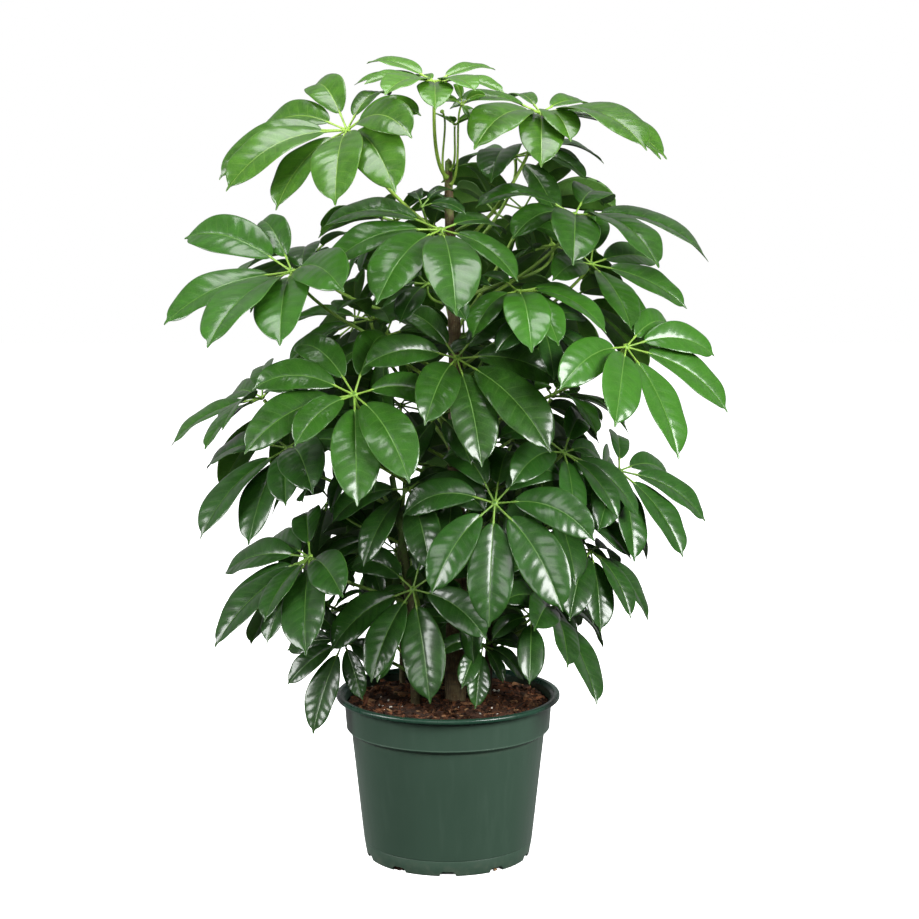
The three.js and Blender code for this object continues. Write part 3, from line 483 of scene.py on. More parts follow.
length = np.clip(rng.lognormal(1.25, 0.5, CHIPS), 1.8, 14)
size = np.stack([length, length * rng.uniform(0.35, 0.75, CHIPS), length * rng.uniform(0.12, 0.3, CHIPS)], -1)
at, clear = scattered(rng, CHIPS, size)
at[:, 2] += size[:, 2] * rng.uniform(0.1, 1.0, CHIPS)
tilt = rng.normal(0, 0.28, (CHIPS, 2))
tone = rng.beta(0.9, 1.5, CHIPS)
chips = lumps(at[clear], size[clear], tilt[clear], rng)
bark_chips = piece("bark_chips", [chips], [MIX_FINISH], smooth=False,
                   notes={"tone": [np.repeat(tone[clear], 8)]})
size = np.clip(rng.lognormal(0.5, 0.3, (PERLITE, 1)), 0.9, 2.8) * rng.uniform(0.8, 1.1, (PERLITE, 3))
at, clear = scattered(rng, PERLITE, size)
at[:, 2] += size[:, 2] * 0.6
grains = lumps(at[clear], size[clear], rng.normal(0, 0.5, (PERLITE, 2))[clear], rng)
perlite = piece("perlite_grains", [grains], [PERLITE_FINISH], smooth=False,
                notes={"tone": [np.repeat(rng.uniform(0.3, 1, clear.sum()), 8)]})

count = SLOT_LUMPS * len(FILLED_SLOTS)
slot_at = np.repeat(turns[FILLED_SLOTS], SLOT_LUMPS) - np.pi / 2 + rng.uniform(-0.095, 0.095, count)
r = rng.uniform(SLOT_IN_R + 1.5, SLOT_IN_R + 4.5, count)
z = rng.uniform(2.2, 4.4, count)
r, z = np.append(r, [90, 90.3]), np.append(z, [1.7, 1.8])
slot_at = np.append(slot_at, turns[[1, -1]] + CRUMB_TURN - np.pi / 2)
size = np.append(rng.uniform(3, 4.2, (count, 3)), [[3.4, 2.6, 2.4], [4.4, 2.6, 2.6]], 0)
tone = np.append(rng.uniform(0, 0.4, count), [1, 1])
at = np.stack([r * np.cos(slot_at), r * np.sin(slot_at), z], -1)
slot_mix = piece("mix_in_the_slots", [lumps(at, size, rng.normal(0, 0.3, (len(at), 2)), rng)],
                 [MIX_FINISH], smooth=False, notes={"tone": [np.repeat(tone, 8)]})
for loose in (bark_chips, perlite, slot_mix):
    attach(loose, "root")

# The leaves
# Each leaf is one growth: a round stalk from the stem, a knob at its end, and a whorl of thick
# waxy leaflets on short stalks. They stay clear of each other as they open, and the low ones
# hang as they age.
BLADE_W = 0.44
BLADE_FULL = 1.05
BLADE_END = 0.935
FOLD = 0.15
STALK = 0.2
STALK_R = 1.3
CURL = 0.25
SHORTER = 0.24
STEPS = 16


def evenly(first, n):
    """Leaflets spread evenly round their knob: [turn, length in percent, loose] of each."""
    return [[first + 360 * k / n, 100, 1] for k in range(n)]


# Knob x, y, z, the azimuth the leaf leans to and by how much, blade length, droop, lift of the
# leaflets, the stem, the height of its joint there, and the leaflets as turn and percent. Most of
# these numbers were found by a search for the plant's outline and then rounded.
LEAVES = [
    [-14, -36, 874, -86, 16, 85, 0.47, 15, "trunk", 770,
      [[-133, 114], [-108, 104], [-74, 88], [-33, 114], [-3, 104], [26, 94], [60, 90],
        [123, 96], [198, 60]]],
    [8, -14, 828, -60, 8, 27, 0.2, 30, "trunk", 778,
      [[-118, 100], [-46, 104], [26, 108], [96, 100], [170, 100]]],
    [-107, -78, 824, -125, 38, 122, 0.97, 23, "trunk", 704,
      [[-181, 78], [-138, 98], [-96, 100], [-57, 110], [-33, 110], [-9, 92], [34, 110],
        [61, 112], [84, 98], [120, 76]]],
    [102, 14, 840, -61, 17, 130, 0.8, 14, "trunk", 690,
      [[-112, 80], [-64, 106], [-30, 90], [-13, 72], [14, 112], [38, 106], [60, 100],
        [112, 74], [178, 62]]],
    [75, 63, 790, -133, 15, 103, 1.08, 1, "trunk", 668,
      [[-131, 108], [-100, 104], [38, 108], [70, 86], [110, 90], [138, 110], [166, 104]]],
    [140, -2, 729, -39, 20, 134, 0.94, 15, "trunk", 618,
      [[-130, 92], [-96, 78], [-56, 100], [-15, 98], [47, 108], [117, 98], [163, 80]]],
    [-7, -76, 718, -71, 24, 125, 0.86, 7, "trunk", 638,
      [[-128, 110], [-91, 103], [-47, 108], [-15, 112], [37, 76], [116, 82]]],
    [-168, -66, 672, -127, 37, 137, 0.6, 23, "trunk", 548,
      [[-135, 78], [-102, 108], [-40, 96], [9, 110], [38, 108], [63, 104]]],
    [-155, 60, 679, 138, 20, 116, 1.0, 8, "trunk", 592, evenly(-4, 8)],
    [76, -56, 650, -84, 11, 104, 1.1, 4, "trunk", 580,
      [[-146, 82], [-40, 84], [0, 110], [25, 86], [56, 100], [100, 93], [172, 76]]],
    [194, -66, 590, -47, 48, 120, 0.9, 17, "trunk", 478,
      [[-95, 96], [-51, 100], [-6, 102], [50, 100], [84, 88], [118, 80]]],
    [160, 30, 672, -48, 40, 101, 0.5, 15, "trunk", 560,
      [[-142, 84], [-74, 92], [-30, 108], [8, 100], [48, 104], [95, 100], [146, 100]]],
    [118, 72, 690, 100, 30, 100, 1.0, 10, "trunk", 632, evenly(10, 7)],
    [-100, -106, 543, -91, 45, 114, 0.96, 14, "trunk", 452,
      [[-147, 100], [-107, 99], [-73, 110], [-47, 76], [4, 107], [33, 108], [99, 84],
        [168, 98]]],
    [10, -69, 578, -75, 50, 117, 0.82, 12, "trunk", 505,
      [[-150, 80], [-98, 90], [-46, 92], [2, 100], [38, 114], [85, 96], [134, 88]]],
    [-86, 8, 612, -133, 13, 94, 0.7, 16, "trunk", 532,
      [[-132, 84], [-63, 106], [-16, 100], [22, 96], [62, 97], [100, 102], [162, 97]]],
    [-209, 24, 522, -162, 36, 101, 0.64, 18, "trunk", 425,
      [[-121, 90], [-90, 97], [-27, 104], [35, 92], [62, 106], [112, 92], [154, 88]]],
    [-177, -23, 472, -146, 30, 119, 0.87, 9, "stem_left", 404,
      [[-101, 78], [-71, 98], [4, 106], [30, 100], [58, 88], [76, 114], [116, 92], [172, 92]]],
    [128, -48, 471, -42, 45, 103, 1.02, 9, "trunk", 405,
      [[-138, 83], [-97, 98], [-35, 84], [3, 81], [42, 96], [88, 70], [132, 92]]],
    [194, 28, 438, -40, 45, 103, 0.9, 12, "stem_right", 360,
      [[-104, 88], [-64, 96], [-28, 96], [6, 102], [44, 100], [88, 84], [142, 80]]],
    [118, 36, 522, -7, 26, 90, 1.16, 22, "trunk", 440,
      [[-120, 84], [-58, 104], [-23, 96], [10, 96], [46, 88], [88, 94], [132, 98]]],
    [51, -108, 425, -95, 55, 115, 1.24, 7, "trunk", 342,
      [[-153, 100], [-108, 92], [-42, 92], [-1, 100], [43, 108], [88, 100], [137, 88], [174, 100]]],
    [-153, -50, 354, -142, 40, 118, 0.6, 8, "stem_left", 296,
      [[-134, 94], [-102, 100], [-76, 103], [-41, 99], [-13, 104], [4, 82], [24, 80],
        [46, 116], [78, 98]]],
    [-38, -84, 325, -111, 53, 106, 1.06, 6, "stem_left", 248,
      [[-125, 96], [-60, 98], [-18, 92], [24, 106], [75, 93], [127, 96], [174, 96]]],
    [-43, -41, 429, -123, 41, 92, 1.15, 7, "trunk", 368,
      [[-66, 94], [-11, 96], [43, 108], [99, 114], [154, 82]]],
    [160, -12, 354, -33, 32, 89, 1.5, 0, "stem_right", 288,
      [[-121, 82], [-73, 114], [-48, 100], [-15, 92], [26, 100], [96, 92], [155, 95]]],
    [118, -16, 288, -24, 42, 103, 0.7, 15, "stem_right", 240,
      [[-119, 100], [-92, 110], [-60, 98], [-31, 110], [100, 84], [165, 76]]],
    [39, -58, 256, -53, 47, 56, 1.2, 5, "trunk", 222,
      [[-112, 100], [-68, 104], [-32, 114], [8, 74], [50, 106], [94, 100]]],
    [-118, -10, 250, -122, 60, 88, 0.5, 6, "stem_left", 214,
      [[-132, 84], [-84, 84], [-44, 80], [-7, 106], [34, 72], [80, 76]]],
    [-70, 28, 592, -142, 50, 112, 1.0, 2, "trunk", 490, evenly(2, 7)],
    [112, 5, 405, -39, 48, 116, 1.0, 12, "stem_right", 346, evenly(16, 7)],
    [-60, 84, 716, 128, 36, 92, 1.0, 10, "trunk", 640, evenly(-16, 7)],
    [86, 104, 728, 80, 56, 114, 0.95, 9, "trunk", 604, evenly(40, 8)],
    [-19, 112, 698, 104, 38, 107, 1.0, 14, "trunk", 568, evenly(-11, 8)],
    [140, 112, 625, 54, 54, 112, 1.0, 10, "trunk", 520, evenly(14, 8)],
    [-108, 116, 596, 140, 56, 104, 1.0, 12, "trunk", 466, evenly(22, 8)],
    [18, 136, 580, 78, 38, 116, 0.95, 6, "trunk", 452, evenly(0, 8)],
    [-176, 84, 509, 126, 58, 116, 1.0, 10, "trunk", 398, evenly(-16, 7)],
    [100, 130, 500, 41, 52, 98, 1.0, 14, "stem_back", 412, evenly(6, 8)],
    [-56, 160, 494, 86, 46, 114, 0.95, 12, "stem_thin", 372, evenly(-16, 8)],
    [36, 170, 448, 70, 52, 116, 0.9, 10, "stem_back", 366, evenly(0, 8)],
    [-138, 96, 393, 148, 58, 114, 1.0, 3, "stem_thin", 318, evenly(21, 7)],
    [176, 86, 408, 10, 54, 90, 1.0, 12, "stem_back", 306, evenly(8, 7)],
    [88, 152, 338, 58, 50, 100, 0.9, 20, "stem_back", 262, evenly(-12, 7)],
    [-62, 166, 318, 90, 58, 114, 0.9, 15, "stem_thin", 262, evenly(20, 7)],
    [-164, 50, 300, 136, 48, 94, 1.0, 24, "stem_left", 256, evenly(12, 7)],
    [10, 136, 268, 98, 56, 102, 0.9, 10, "stem_back", 226, evenly(0, 6)],
    [-116, 60, 470, 160, 39, 112, 0.9, 16, "stem_left", 384, evenly(0, 7)],
]


def random_from(seed):
    """Small seeded generator: s becomes (1664525 s + 1013904223) mod 2^32, drawn as s / 2^32."""
    s = seed
    while True:
        s = (s * 1664525 + 1013904223) % 2 ** 32
        yield s / 2 ** 32


def half_width(t):
    """Half width of a blade of length 1 at share t: the cube root of the cubed sum of the root of
    a sine arch, which is round at both ends, and of a narrow drip tip."""
    u = np.minimum(np.clip(t, 0, 1) ** 1.12 / BLADE_END, 1)
    body = np.sqrt(np.maximum(np.sin(np.pi * u), 0))
    tail = np.where(t > 0.5, 0.13 * np.sqrt(np.clip((1 - t) / 0.1, 0, 1)), 0)
    return BLADE_W / 2 * np.cbrt(body ** 3 + tail ** 3)


def unit(v):
    """v over its own length."""
    return v / np.linalg.norm(v, axis=-1, keepdims=True)


UP = np.array([0, 0, 1.0])


class Leaf:
    """Where a leaf's knob stands and leans, and the Bezier curve of its stalk."""

    def __init__(self, number, row):
        x, y, z, azimuth, tilt, self.length, self.droop, self.lift, self.stem, joint, self.leaflets = row
        self.number = number
        self.hub = np.array([x, y, z], float)
        a, b = np.radians(azimuth), np.radians(tilt)
        lean = np.array([np.cos(a), np.sin(a), 0])
        self.normal = np.cos(b) * UP + np.sin(b) * lean
        self.out = unit(lean - (lean @ self.normal) * self.normal)
        self.side = np.cross(self.normal, self.out)
        self.hub_r = 1.9 + 0.02 * self.length
        self.stalk_r = min(STALK_R, 0.5 + 0.012 * self.length)
        self.petiole_r = min(2, 0.9 + 0.012 * self.length)
        points = np.array(STEMS[self.stem][1:], float)
        i = min(np.searchsorted(points[:, 2], joint) - 1, len(points) - 2)
        run = points[i + 1] - points[i]
        on = points[i] + run * (joint - points[i, 2]) / run[2]
        face = 2 * np.pi / STEMS[self.stem][0]
        a = (np.floor(np.arctan2(y - on[1], x - on[0]) / face) + 0.5) * face
        level = np.array([np.cos(a), np.sin(a), 0])
        self.across = np.array([-level[1], level[0], 0])
        flat = np.cos(face / 2)
        self.root = unit(np.cross(self.across, run[:3] + level * run[3] * flat))
        start = on[:3] + level * on[3] * flat + self.root * GAP
        far = np.linalg.norm(start - self.hub)
        end = self.hub - self.normal * self.hub_r * 0.9
        self.curve = np.array([start, start + self.root * far * 0.24 + UP * far * 0.16,
                               end - self.normal * far * 0.3, end])
        self.placed = []

    def stalk(self, u):
        """Points of the stalk's Bezier curve at shares u of its way."""
        u = np.asarray(u)[:, None]
        a, b, c, d = self.curve
        return a * (1 - u) ** 3 + 3 * b * u * (1 - u) ** 2 + 3 * c * u ** 2 * (1 - u) + d * u ** 3


def midrib(leaf, turn, lift, size, steps=STEPS):
    """Length, points, width directions and upper normals of a leaflet's midrib. Its direction
    is start - droop t^1.2 up - CURL t^2 normal, made a unit vector at the middle of each step."""
    r = leaf.out * np.cos(turn) + leaf.side * np.sin(turn)
    start = r * np.cos(lift) + leaf.normal * np.sin(lift)
    length = leaf.length * size * (1 - SHORTER * (1 - np.cos(turn)) / 2)
    t = ((np.arange(steps) + 0.5) / steps)[:, None]
    d = unit(start - UP * leaf.droop * t ** 1.2 - leaf.normal * CURL * t * t)
    base = leaf.hub + start * STALK * leaf.length * size
    points = base + np.vstack([np.zeros(3), np.cumsum(d * length / steps, axis=0)])
    d = np.vstack([start, d])
    width = [unit(np.cross(leaf.normal, start))]
    for step in d[1:]:
        width.append(unit(width[-1] - (width[-1] @ step) * step))
    width = np.array(width)
    return length, points, width, np.cross(d, width)


# Cells of 4 mm remember what passes through them, so that each new leaflet can turn aside
CELL = 4
GRID_LOW = np.array([-344.37, -344.61, 60.43])
GRID = (173, 173, 225)
MARKS = 16
cells = np.zeros(GRID[0] * GRID[1] * GRID[2], np.int32)
steps = np.array([(i, j, k) for k in (-1, 0, 1) for j in (-1, 0, 1) for i in (-1, 0, 1) if i * j * k == 0])
NEAR = (steps[:, 2] * GRID[1] + steps[:, 1]) * GRID[0] + steps[:, 0]
MOVES = sorted(((up, aside) for up in (0, 3, -3, 6, -6, 9, -9, 13, -13, 18, -18, 26, -26, 38, -38)
                for aside in (0, 3, -3, 6, -6, 9, -9)), key=lambda move: move[0] ** 2 + move[1] ** 2)


def cell_of(points):
    """Number of the cell that each point is in."""
    i = np.floor((points - GRID_LOW) / CELL).astype(int)
    return (i[..., 2] * GRID[1] + i[..., 1]) * GRID[0] + i[..., 0]


STATIONS = np.arange(3 * STEPS + 1)
SHARES = STATIONS / (3 * STEPS)


def blade_cells(leaf, length, points, width, normal):
    """Cells of points over a leaflet's stalk and blade, no further apart than a cell, and the
    share of the blade's length at each."""
    half = half_width(SHARES) * BLADE_FULL * length + 0.6
    count = np.maximum(1, np.ceil(half / 3.3)).astype(int)
    row = np.repeat(STATIONS, 2 * count + 1)
    x = np.concatenate([np.arange(-n, n + 1) / n for n in count]) * half[row]
    k = np.minimum(row // 3, STEPS - 1)
    f = (row / 3 - k)[:, None]
    p, w, m = (v[k] * (1 - f) + v[k + 1] * f for v in (points, width, normal))
    over = p + x[:, None] * w + (FOLD * np.abs(x))[:, None] * m
    s = (np.arange(2, 10) / 10)[:, None]
    stalk = leaf.hub * (1 - s) + points[0] * s
    return cell_of(np.vstack([stalk, over])), np.concatenate([np.zeros(len(s)), SHARES[row]])


def is_clear(cell, share, own):
    """Whether no cell next to the blade's belongs to another piece, nor a cell of its own to
    another leaflet of the same leaf."""
    other = cells[cell[:, None] + NEAR]
    taken = (other != 0) & (other != own)
    kin = other // MARKS == own // MARKS
    crossing = (NEAR == 0) & (share > 0.12)[:, None]
    return not (taken & (~kin | crossing)).any()


def place_leaflets(leaf, moves=MOVES):
    """Each leaflet takes its own place, or is raised, swung or shortened until it is clear."""
    draw = random_from(100 + leaf.number)
    for k, (turn, percent, *loose) in enumerate(leaf.leaflets):
        loose = loose[0] if loose else 0
        jitter = [next(draw) - 0.5 for _ in range(3)]
        turn = np.radians(turn + 5 * loose * jitter[0])
        lift = leaf.lift + (2 + 5 * loose) * jitter[1]
        size = percent / 100 + 0.1 * loose * jitter[2]
        own = leaf.number * MARKS + k
        tries = ((turn + np.radians(aside), np.radians(lift + up), size * shrink)
                 for shrink in (1, 0.86, 0.72) for up, aside in moves)
        for place in tries:
            cell, share = blade_cells(leaf, *midrib(leaf, *place))
            if is_clear(cell, share, own):
                leaf.placed.append(place)
                cells[cell[cells[cell] == 0]] = own
                break


def mark_round(x, y, z, r, sides):
    """Marks the cells of a level circle as taken for good."""
    a = 2 * np.pi * np.arange(sides) / sides
    cells[cell_of(np.stack([x + r * np.cos(a), y + r * np.sin(a), np.full(sides, z)], -1))] = 1


for z in range(70, POT_H + 1, 3):
    mark_round(0, 0, z, LIP_R - 2 if z > POT_H - 6 else BODY_LOW_R + (z - BODY_LOW) * 0.132, 360)
mark_round(0, 0, POT_H - 3, LIP_R, 360)
for r in range(2, COLLAR_TOP_R, 3):
    mark_round(0, 0, 178.5, r, 360)
for name in STEMS:
    top = STEMS[name][-1][2]
    for z in np.arange(178, top + 4, 2.5):
        x, y, r = stem_line(name, min(z, top))
        mark_round(x, y, z, r, 24)


def mark_stalk(leaf):
    """Marks the cells within 2 mm of points 2 mm apart on a leaf's stalk."""
    way = leaf.stalk(np.linspace(0, 1, 401))
    count = int(np.ceil(np.linalg.norm(np.diff(way[::2], axis=0), axis=1).sum() / 2))
    way = leaf.stalk(np.arange(count + 1) / count)
    for i, j in ((0, 0), (1, 0), (-1, 0), (0, 1), (0, -1)):
        cells[cell_of(way + [2 * i, 2 * j, 0])] = leaf.number * MARKS + MARKS - 1


leaves = [Leaf(i + 1, row) for i, row in enumerate(LEAVES)]
for leaf in leaves:
    mark_stalk(leaf)
for leaf in sorted(leaves, key=lambda one: len(one.leaflets[0]) == 3):
    place_leaflets(leaf)

# Edges of the blade's columns, from one margin over the midrib to the other, and its rows
BLADE_COLUMNS = np.array([0.04, 0.16, 0.38, 0.62, 0.84, 0.965])
VEINS = 9
VEIN_SWEEP = 0.5
BULGE = 0.65
BLADE_THICK = 0.5
KEEL = 1.0
GROOVE = 0.35
WAVE = 1.3


def blade_skin(leaf, place, rng, fine):
    """Closed skin of one leaflet and the numbers its material reads. Row s and column e meet the
    midrib at t = s + VEIN_SWEEP |e|^1.2 s (1-s), so that rows follow the side veins. The point is
    midrib(t) + e half(t) width + rise normal. rise is a V that arches over (0.26 |e| - 0.13 e^2 of
    the half width), a bulge |sin| between veins, a wave at the margin, and half the thickness up
    or down, with a groove above the midrib and a keel under it."""
    length, points, width, normal = midrib(leaf, *place, steps=64)
    e = BLADE_COLUMNS if fine else BLADE_COLUMNS[[0, 2, 4]]
    e = np.concatenate([[1], e[::-1], [0], -e, [-1]])
    e = np.concatenate([e, e[-2:0:-1]])
    upper = np.arange(len(e)) < (len(e) + 2) // 2
    edge = np.abs(e) == 1
    s = np.linspace(0, 1, VEINS * (4 if fine else 2) + 1)
    s = np.concatenate([[0.012], s[1:-1], [0.985, 0.996]])[:, None]
    t = s + VEIN_SWEEP * np.abs(e) ** 1.2 * s * (1 - s)
    span = t * (len(points) - 1)
    k = np.minimum(span.astype(int), len(points) - 2)
    f = (span - k)[..., None]
    p, w, m = (v[k] * (1 - f) + v[k + 1] * f for v in (points, width, normal))
    roll = np.radians(rng.normal(0, 3)) * t[..., None]
    w, m = w * np.cos(roll) + m * np.sin(roll), m * np.cos(roll) - w * np.sin(roll)
    half = half_width(t) * length
    x = e * half
    scale = length / 110
    arch = half * (0.26 * np.abs(e) - 0.13 * e ** 2) * (1 + 0.5 * (1 - t) ** 4)
    crest = np.abs(np.sin(np.pi * (VEINS * s + 0.5 * (e < 0)))) ** 0.8
    pad = (4 * np.abs(e) * (1 - np.abs(e))) ** 0.7 * np.sin(np.pi * np.clip(s, 0, 1)) ** 0.4
    phase, turns = rng.uniform(0, 1, 2), rng.uniform(1.4, 2.6, 2)
    side = (e < 0).astype(int)
    wave = e ** 2 * np.sin(2 * np.pi * (turns[side] * s + phase[side])) * np.sin(np.pi * s) ** 0.5
    face = np.where(edge, 0, np.where(upper, 1, -1)) * BLADE_THICK / 2
    face = face - np.where(upper, GROOVE, KEEL * (1 - t) ** 0.7) * np.exp(-(x / 1.1) ** 2) * ~edge
    rise = arch + BULGE * scale * crest * pad + WAVE * scale * wave + face
    rings = p + x[..., None] * w + rise[..., None] * m
    made = skin(rings, points[0], points[-1])
    of_quad = np.tile(np.where(upper & (np.arange(len(e)) < (len(e)) // 2), 0, 1), len(s) - 1)
    across = np.concatenate([np.broadcast_to(e, x.shape).ravel(), [0, 0]])
    along = np.concatenate([np.broadcast_to(s, x.shape).ravel(), [0, 1]])
    off = np.concatenate([np.abs(x).ravel(), [0, 0]])
    return (*made, of_quad), {"across": across, "along": along, "off_midrib": off}


def tube(path, across, radius, sides):
    """Skin of a round tube: ring k is path_k + radius_k (cos a w_k + sin a m_k), where w_k is the
    across direction made square to the path and m_k = direction x w_k."""
    d = unit(np.gradient(path, axis=0))
    w = unit(across - (d @ across)[:, None] * d)
    m = np.cross(d, w)
    a = np.linspace(0, 2 * np.pi, sides, endpoint=False)[:, None]
    rings = path[:, None] + radius[:, None, None] * (np.cos(a) * w[:, None] + np.sin(a) * m[:, None])
    return skin(rings, path[0], path[-1])


def leaf_stalks(leaf, fine):
    """Skins of the leaf's stalk, swollen 1.9 times where it clasps the stem and widened into the
    knob, of the knob as a flattened ball, and of the short stalk under each leaflet."""
    u = np.linspace(0, 1, 30) ** 1.15
    way = leaf.stalk(u)
    bell = 0.9 * np.exp(-(u / 0.025) ** 2) + 0.25 * np.exp(-((1 - u) / 0.03) ** 2)
    parts = [tube(way, leaf.across, leaf.petiole_r * (1.15 - 0.3 * u + bell), 12 if fine else 8)]
    latitude = np.linspace(-np.pi / 2, np.pi / 2, 9)[1:-1]
    axis = leaf.hub + np.outer(np.sin(latitude), leaf.normal) * leaf.hub_r * 0.62
    a = np.linspace(0, 2 * np.pi, 12, endpoint=False)[:, None]
    around = np.cos(a) * leaf.out + np.sin(a) * leaf.side
    ball = axis[:, None] + (np.cos(latitude) * leaf.hub_r)[:, None, None] * around
    pole = leaf.normal * leaf.hub_r * 0.62
    parts.append(skin(ball, leaf.hub - pole, leaf.hub + pole))
    for place in leaf.placed:
        length, points, width, normal = midrib(leaf, *place)
        v = np.array([0, 0.08, 0.2, 0.4, 0.6, 0.8, 0.92, 1, 1.06, 1.2])[:, None]
        path = leaf.hub + (points[0] - leaf.hub) * np.minimum(v, 1)
        path = path + (points[1] - points[0]) * np.maximum(v - 1, 0) * 4
        v = v[:, 0]
        r = leaf.stalk_r * (0.85 + 0.35 * np.exp(-(v / 0.2) ** 2) + 0.3 * np.exp(-((v - 1) / 0.1) ** 2))
        parts.append(tube(path - normal[0] * 0.3, width[0], r * np.where(v > 1.1, 0.35, 1), 8 if fine else 6))
    return parts


def lamina(name, green, deep, vein, glow, rough, under=False):
    """Living leaf. Above, a thick waxy skin gives broad pale highlights that the side veins break
    up, and below it is matt and paler. Some light passes through and comes out yellower."""
    material, tree, shader = new_material(name)
    where = add(tree, "TexCoord", out="Object")
    across = add(tree, "Attribute", out="Fac", attribute_name="across")
    along = add(tree, "Attribute", out="Fac", attribute_name="along")
    off = add(tree, "Attribute", out="Fac", attribute_name="off_midrib")
    tone = add(tree, "Attribute", out="Fac", attribute_name="tone")
    wide = add(tree, "Math", {0: across}, operation="ABSOLUTE")
    left = add(tree, "Math", {0: across, 1: 0.0}, operation="LESS_THAN")
    vein_at = add(tree, "Math", {0: along, 1: VEINS, 2: 0.0}, operation="MULTIPLY_ADD")
    vein_at = add(tree, "Math", {0: left, 1: 0.5, 2: vein_at}, operation="MULTIPLY_ADD")
    gap = add(tree, "Math", {0: vein_at, 1: 0.5}, operation="PINGPONG")
    side_vein = add(tree, "MapRange", {0: gap, 1: 0.012, 2: 0.07, 3: 1.0, 4: 0.0}, **SMOOTH)
    fading = add(tree, "MapRange", {0: wide, 1: 0.3, 2: 0.95, 3: 0.22, 4: 0.0}, **SMOOTH)
    side_vein = add(tree, "Math", {0: side_vein, 1: fading}, operation="MULTIPLY")
    thin = add(tree, "MapRange", {0: along, 1: 0.0, 2: 1.0, 3: 1.25, 4: 0.45})
    spine = add(tree, "Math", {0: off, 1: thin}, operation="DIVIDE")
    spine = add(tree, "MapRange", {0: spine, 1: 0.3, 2: 0.85, 3: 0.7, 4: 0.0}, **SMOOTH)
    margin = add(tree, "MapRange", {0: wide, 1: 0.968, 2: 0.995, 4: 0.6}, **SMOOTH)
    patch = add(tree, "TexNoise", {"Vector": where, "Scale": 1 / (14 * MM), "Detail": 4.0})
    fleck = add(tree, "TexNoise", {"Vector": where, "Scale": 1 / (1.6 * MM), "Detail": 3.0})
    mesh_cell = add(tree, "TexVoronoi", {"Vector": where, "Scale": 1 / (2.6 * MM)},
                    feature="DISTANCE_TO_EDGE")
    net = add(tree, "MapRange", {0: mesh_cell, 1: 0.0, 2: 0.12, 3: 0.12, 4: 0.0}, **SMOOTH)
    # The leaf's darkness darkens its green: partly age, partly painted shade and painted light.
    darkness_with_painted_shade = add(tree, "MapRange", {0: tone, 1: 0.0, 2: 1.0, 3: 0.0, 4: 0.8})
    cloud = add(tree, "MapRange", {0: patch, 1: 0.3, 2: 0.7, 3: -0.15, 4: 0.2}, **SMOOTH)
    shade = add(tree, "Math", {0: darkness_with_painted_shade, 1: cloud}, use_clamp=True, operation="ADD")
    speck = add(tree, "MapRange", {0: fleck, 1: 0.35, 2: 0.75, 4: 0.08}, **SMOOTH)
    colour = add(tree, "Mix", {0: shade, 6: green, 7: deep}, 2, data_type="RGBA")
    colour = add(tree, "Mix", {0: speck, 6: colour, 7: vein}, 2, data_type="RGBA")
    lines = add(tree, "Math", {0: side_vein, 1: net}, operation="MAXIMUM")
    lines = add(tree, "Math", {0: lines, 1: margin}, operation="MAXIMUM")
    lines = add(tree, "Math", {0: lines, 1: spine}, operation="MAXIMUM")
    colour = add(tree, "Mix", {0: lines, 6: colour, 7: vein}, 2, data_type="RGBA")
    gloss = add(tree, "MapRange", {0: fleck, 1: 0.3, 2: 0.7, 3: rough, 4: rough + 0.09}, **SMOOTH)
    relief = add(tree, "Math", {0: side_vein, 1: -3.0, 2: fleck}, operation="MULTIPLY_ADD")
    relief = add(tree, "Math", {0: net, 1: -2.0, 2: relief}, operation="MULTIPLY_ADD")
    bump = add(tree, "Bump", {"Height": relief, "Strength": 0.25, "Distance": 0.25 * MM}, invert=under)
    fill(tree, shader, {"Base Color": colour, "Roughness": gloss, "IOR": 1.46, "Normal": bump})
    if not under:
        fill(tree, shader, {"Coat Weight": 1.0, "Coat Roughness": 0.2, "Specular IOR Level": 0.3})
    through = add(tree, "Mix", {0: 0.35, 6: glow, 7: colour}, 2, data_type="RGBA")
    through = add(tree, "BsdfTranslucent", {"Color": through, "Normal": bump})
    both = add(tree, "MixShader", {0: 0.28, 1: shader.outputs[0], 2: through})
    tree.links.new(both, tree.nodes["Material Output"].inputs[0])
    return material


def stalk_finish(name, green, flush):
    """Green leaf stalk: smooth, satin and paler than the blade, with fine long ribs and a paler
    bloom of 8 mm patches."""
    material, tree, shader = new_material(name)
    where = add(tree, "TexCoord", out="Object")
    tone = add(tree, "Attribute", out="Fac", attribute_name="tone")
    patch = add(tree, "TexNoise", {"Vector": where, "Scale": 1 / (8 * MM), "Detail": 4.0})
    rib = add(tree, "TexNoise", {"Vector": where, "Scale": 1 / (0.9 * MM)})
    mixed = add(tree, "MapRange", {0: patch, 1: 0.3, 2: 0.7, 4: 0.6}, **SMOOTH)
    mixed = add(tree, "Math", {0: tone, 1: 0.4, 2: mixed}, use_clamp=True, operation="MULTIPLY_ADD")
    colour = add(tree, "Mix", {0: mixed, 6: green, 7: flush}, 2, data_type="RGBA")
    bump = add(tree, "Bump", {"Height": rib, "Strength": 0.2, "Distance": 0.2 * MM})
    rough = add(tree, "MapRange", {0: patch, 1: 0.3, 2: 0.7, 3: 0.36, 4: 0.5})
    fill(tree, shader, {"Base Color": colour, "Roughness": rough, "IOR": 1.45, "Normal": bump})
    return material


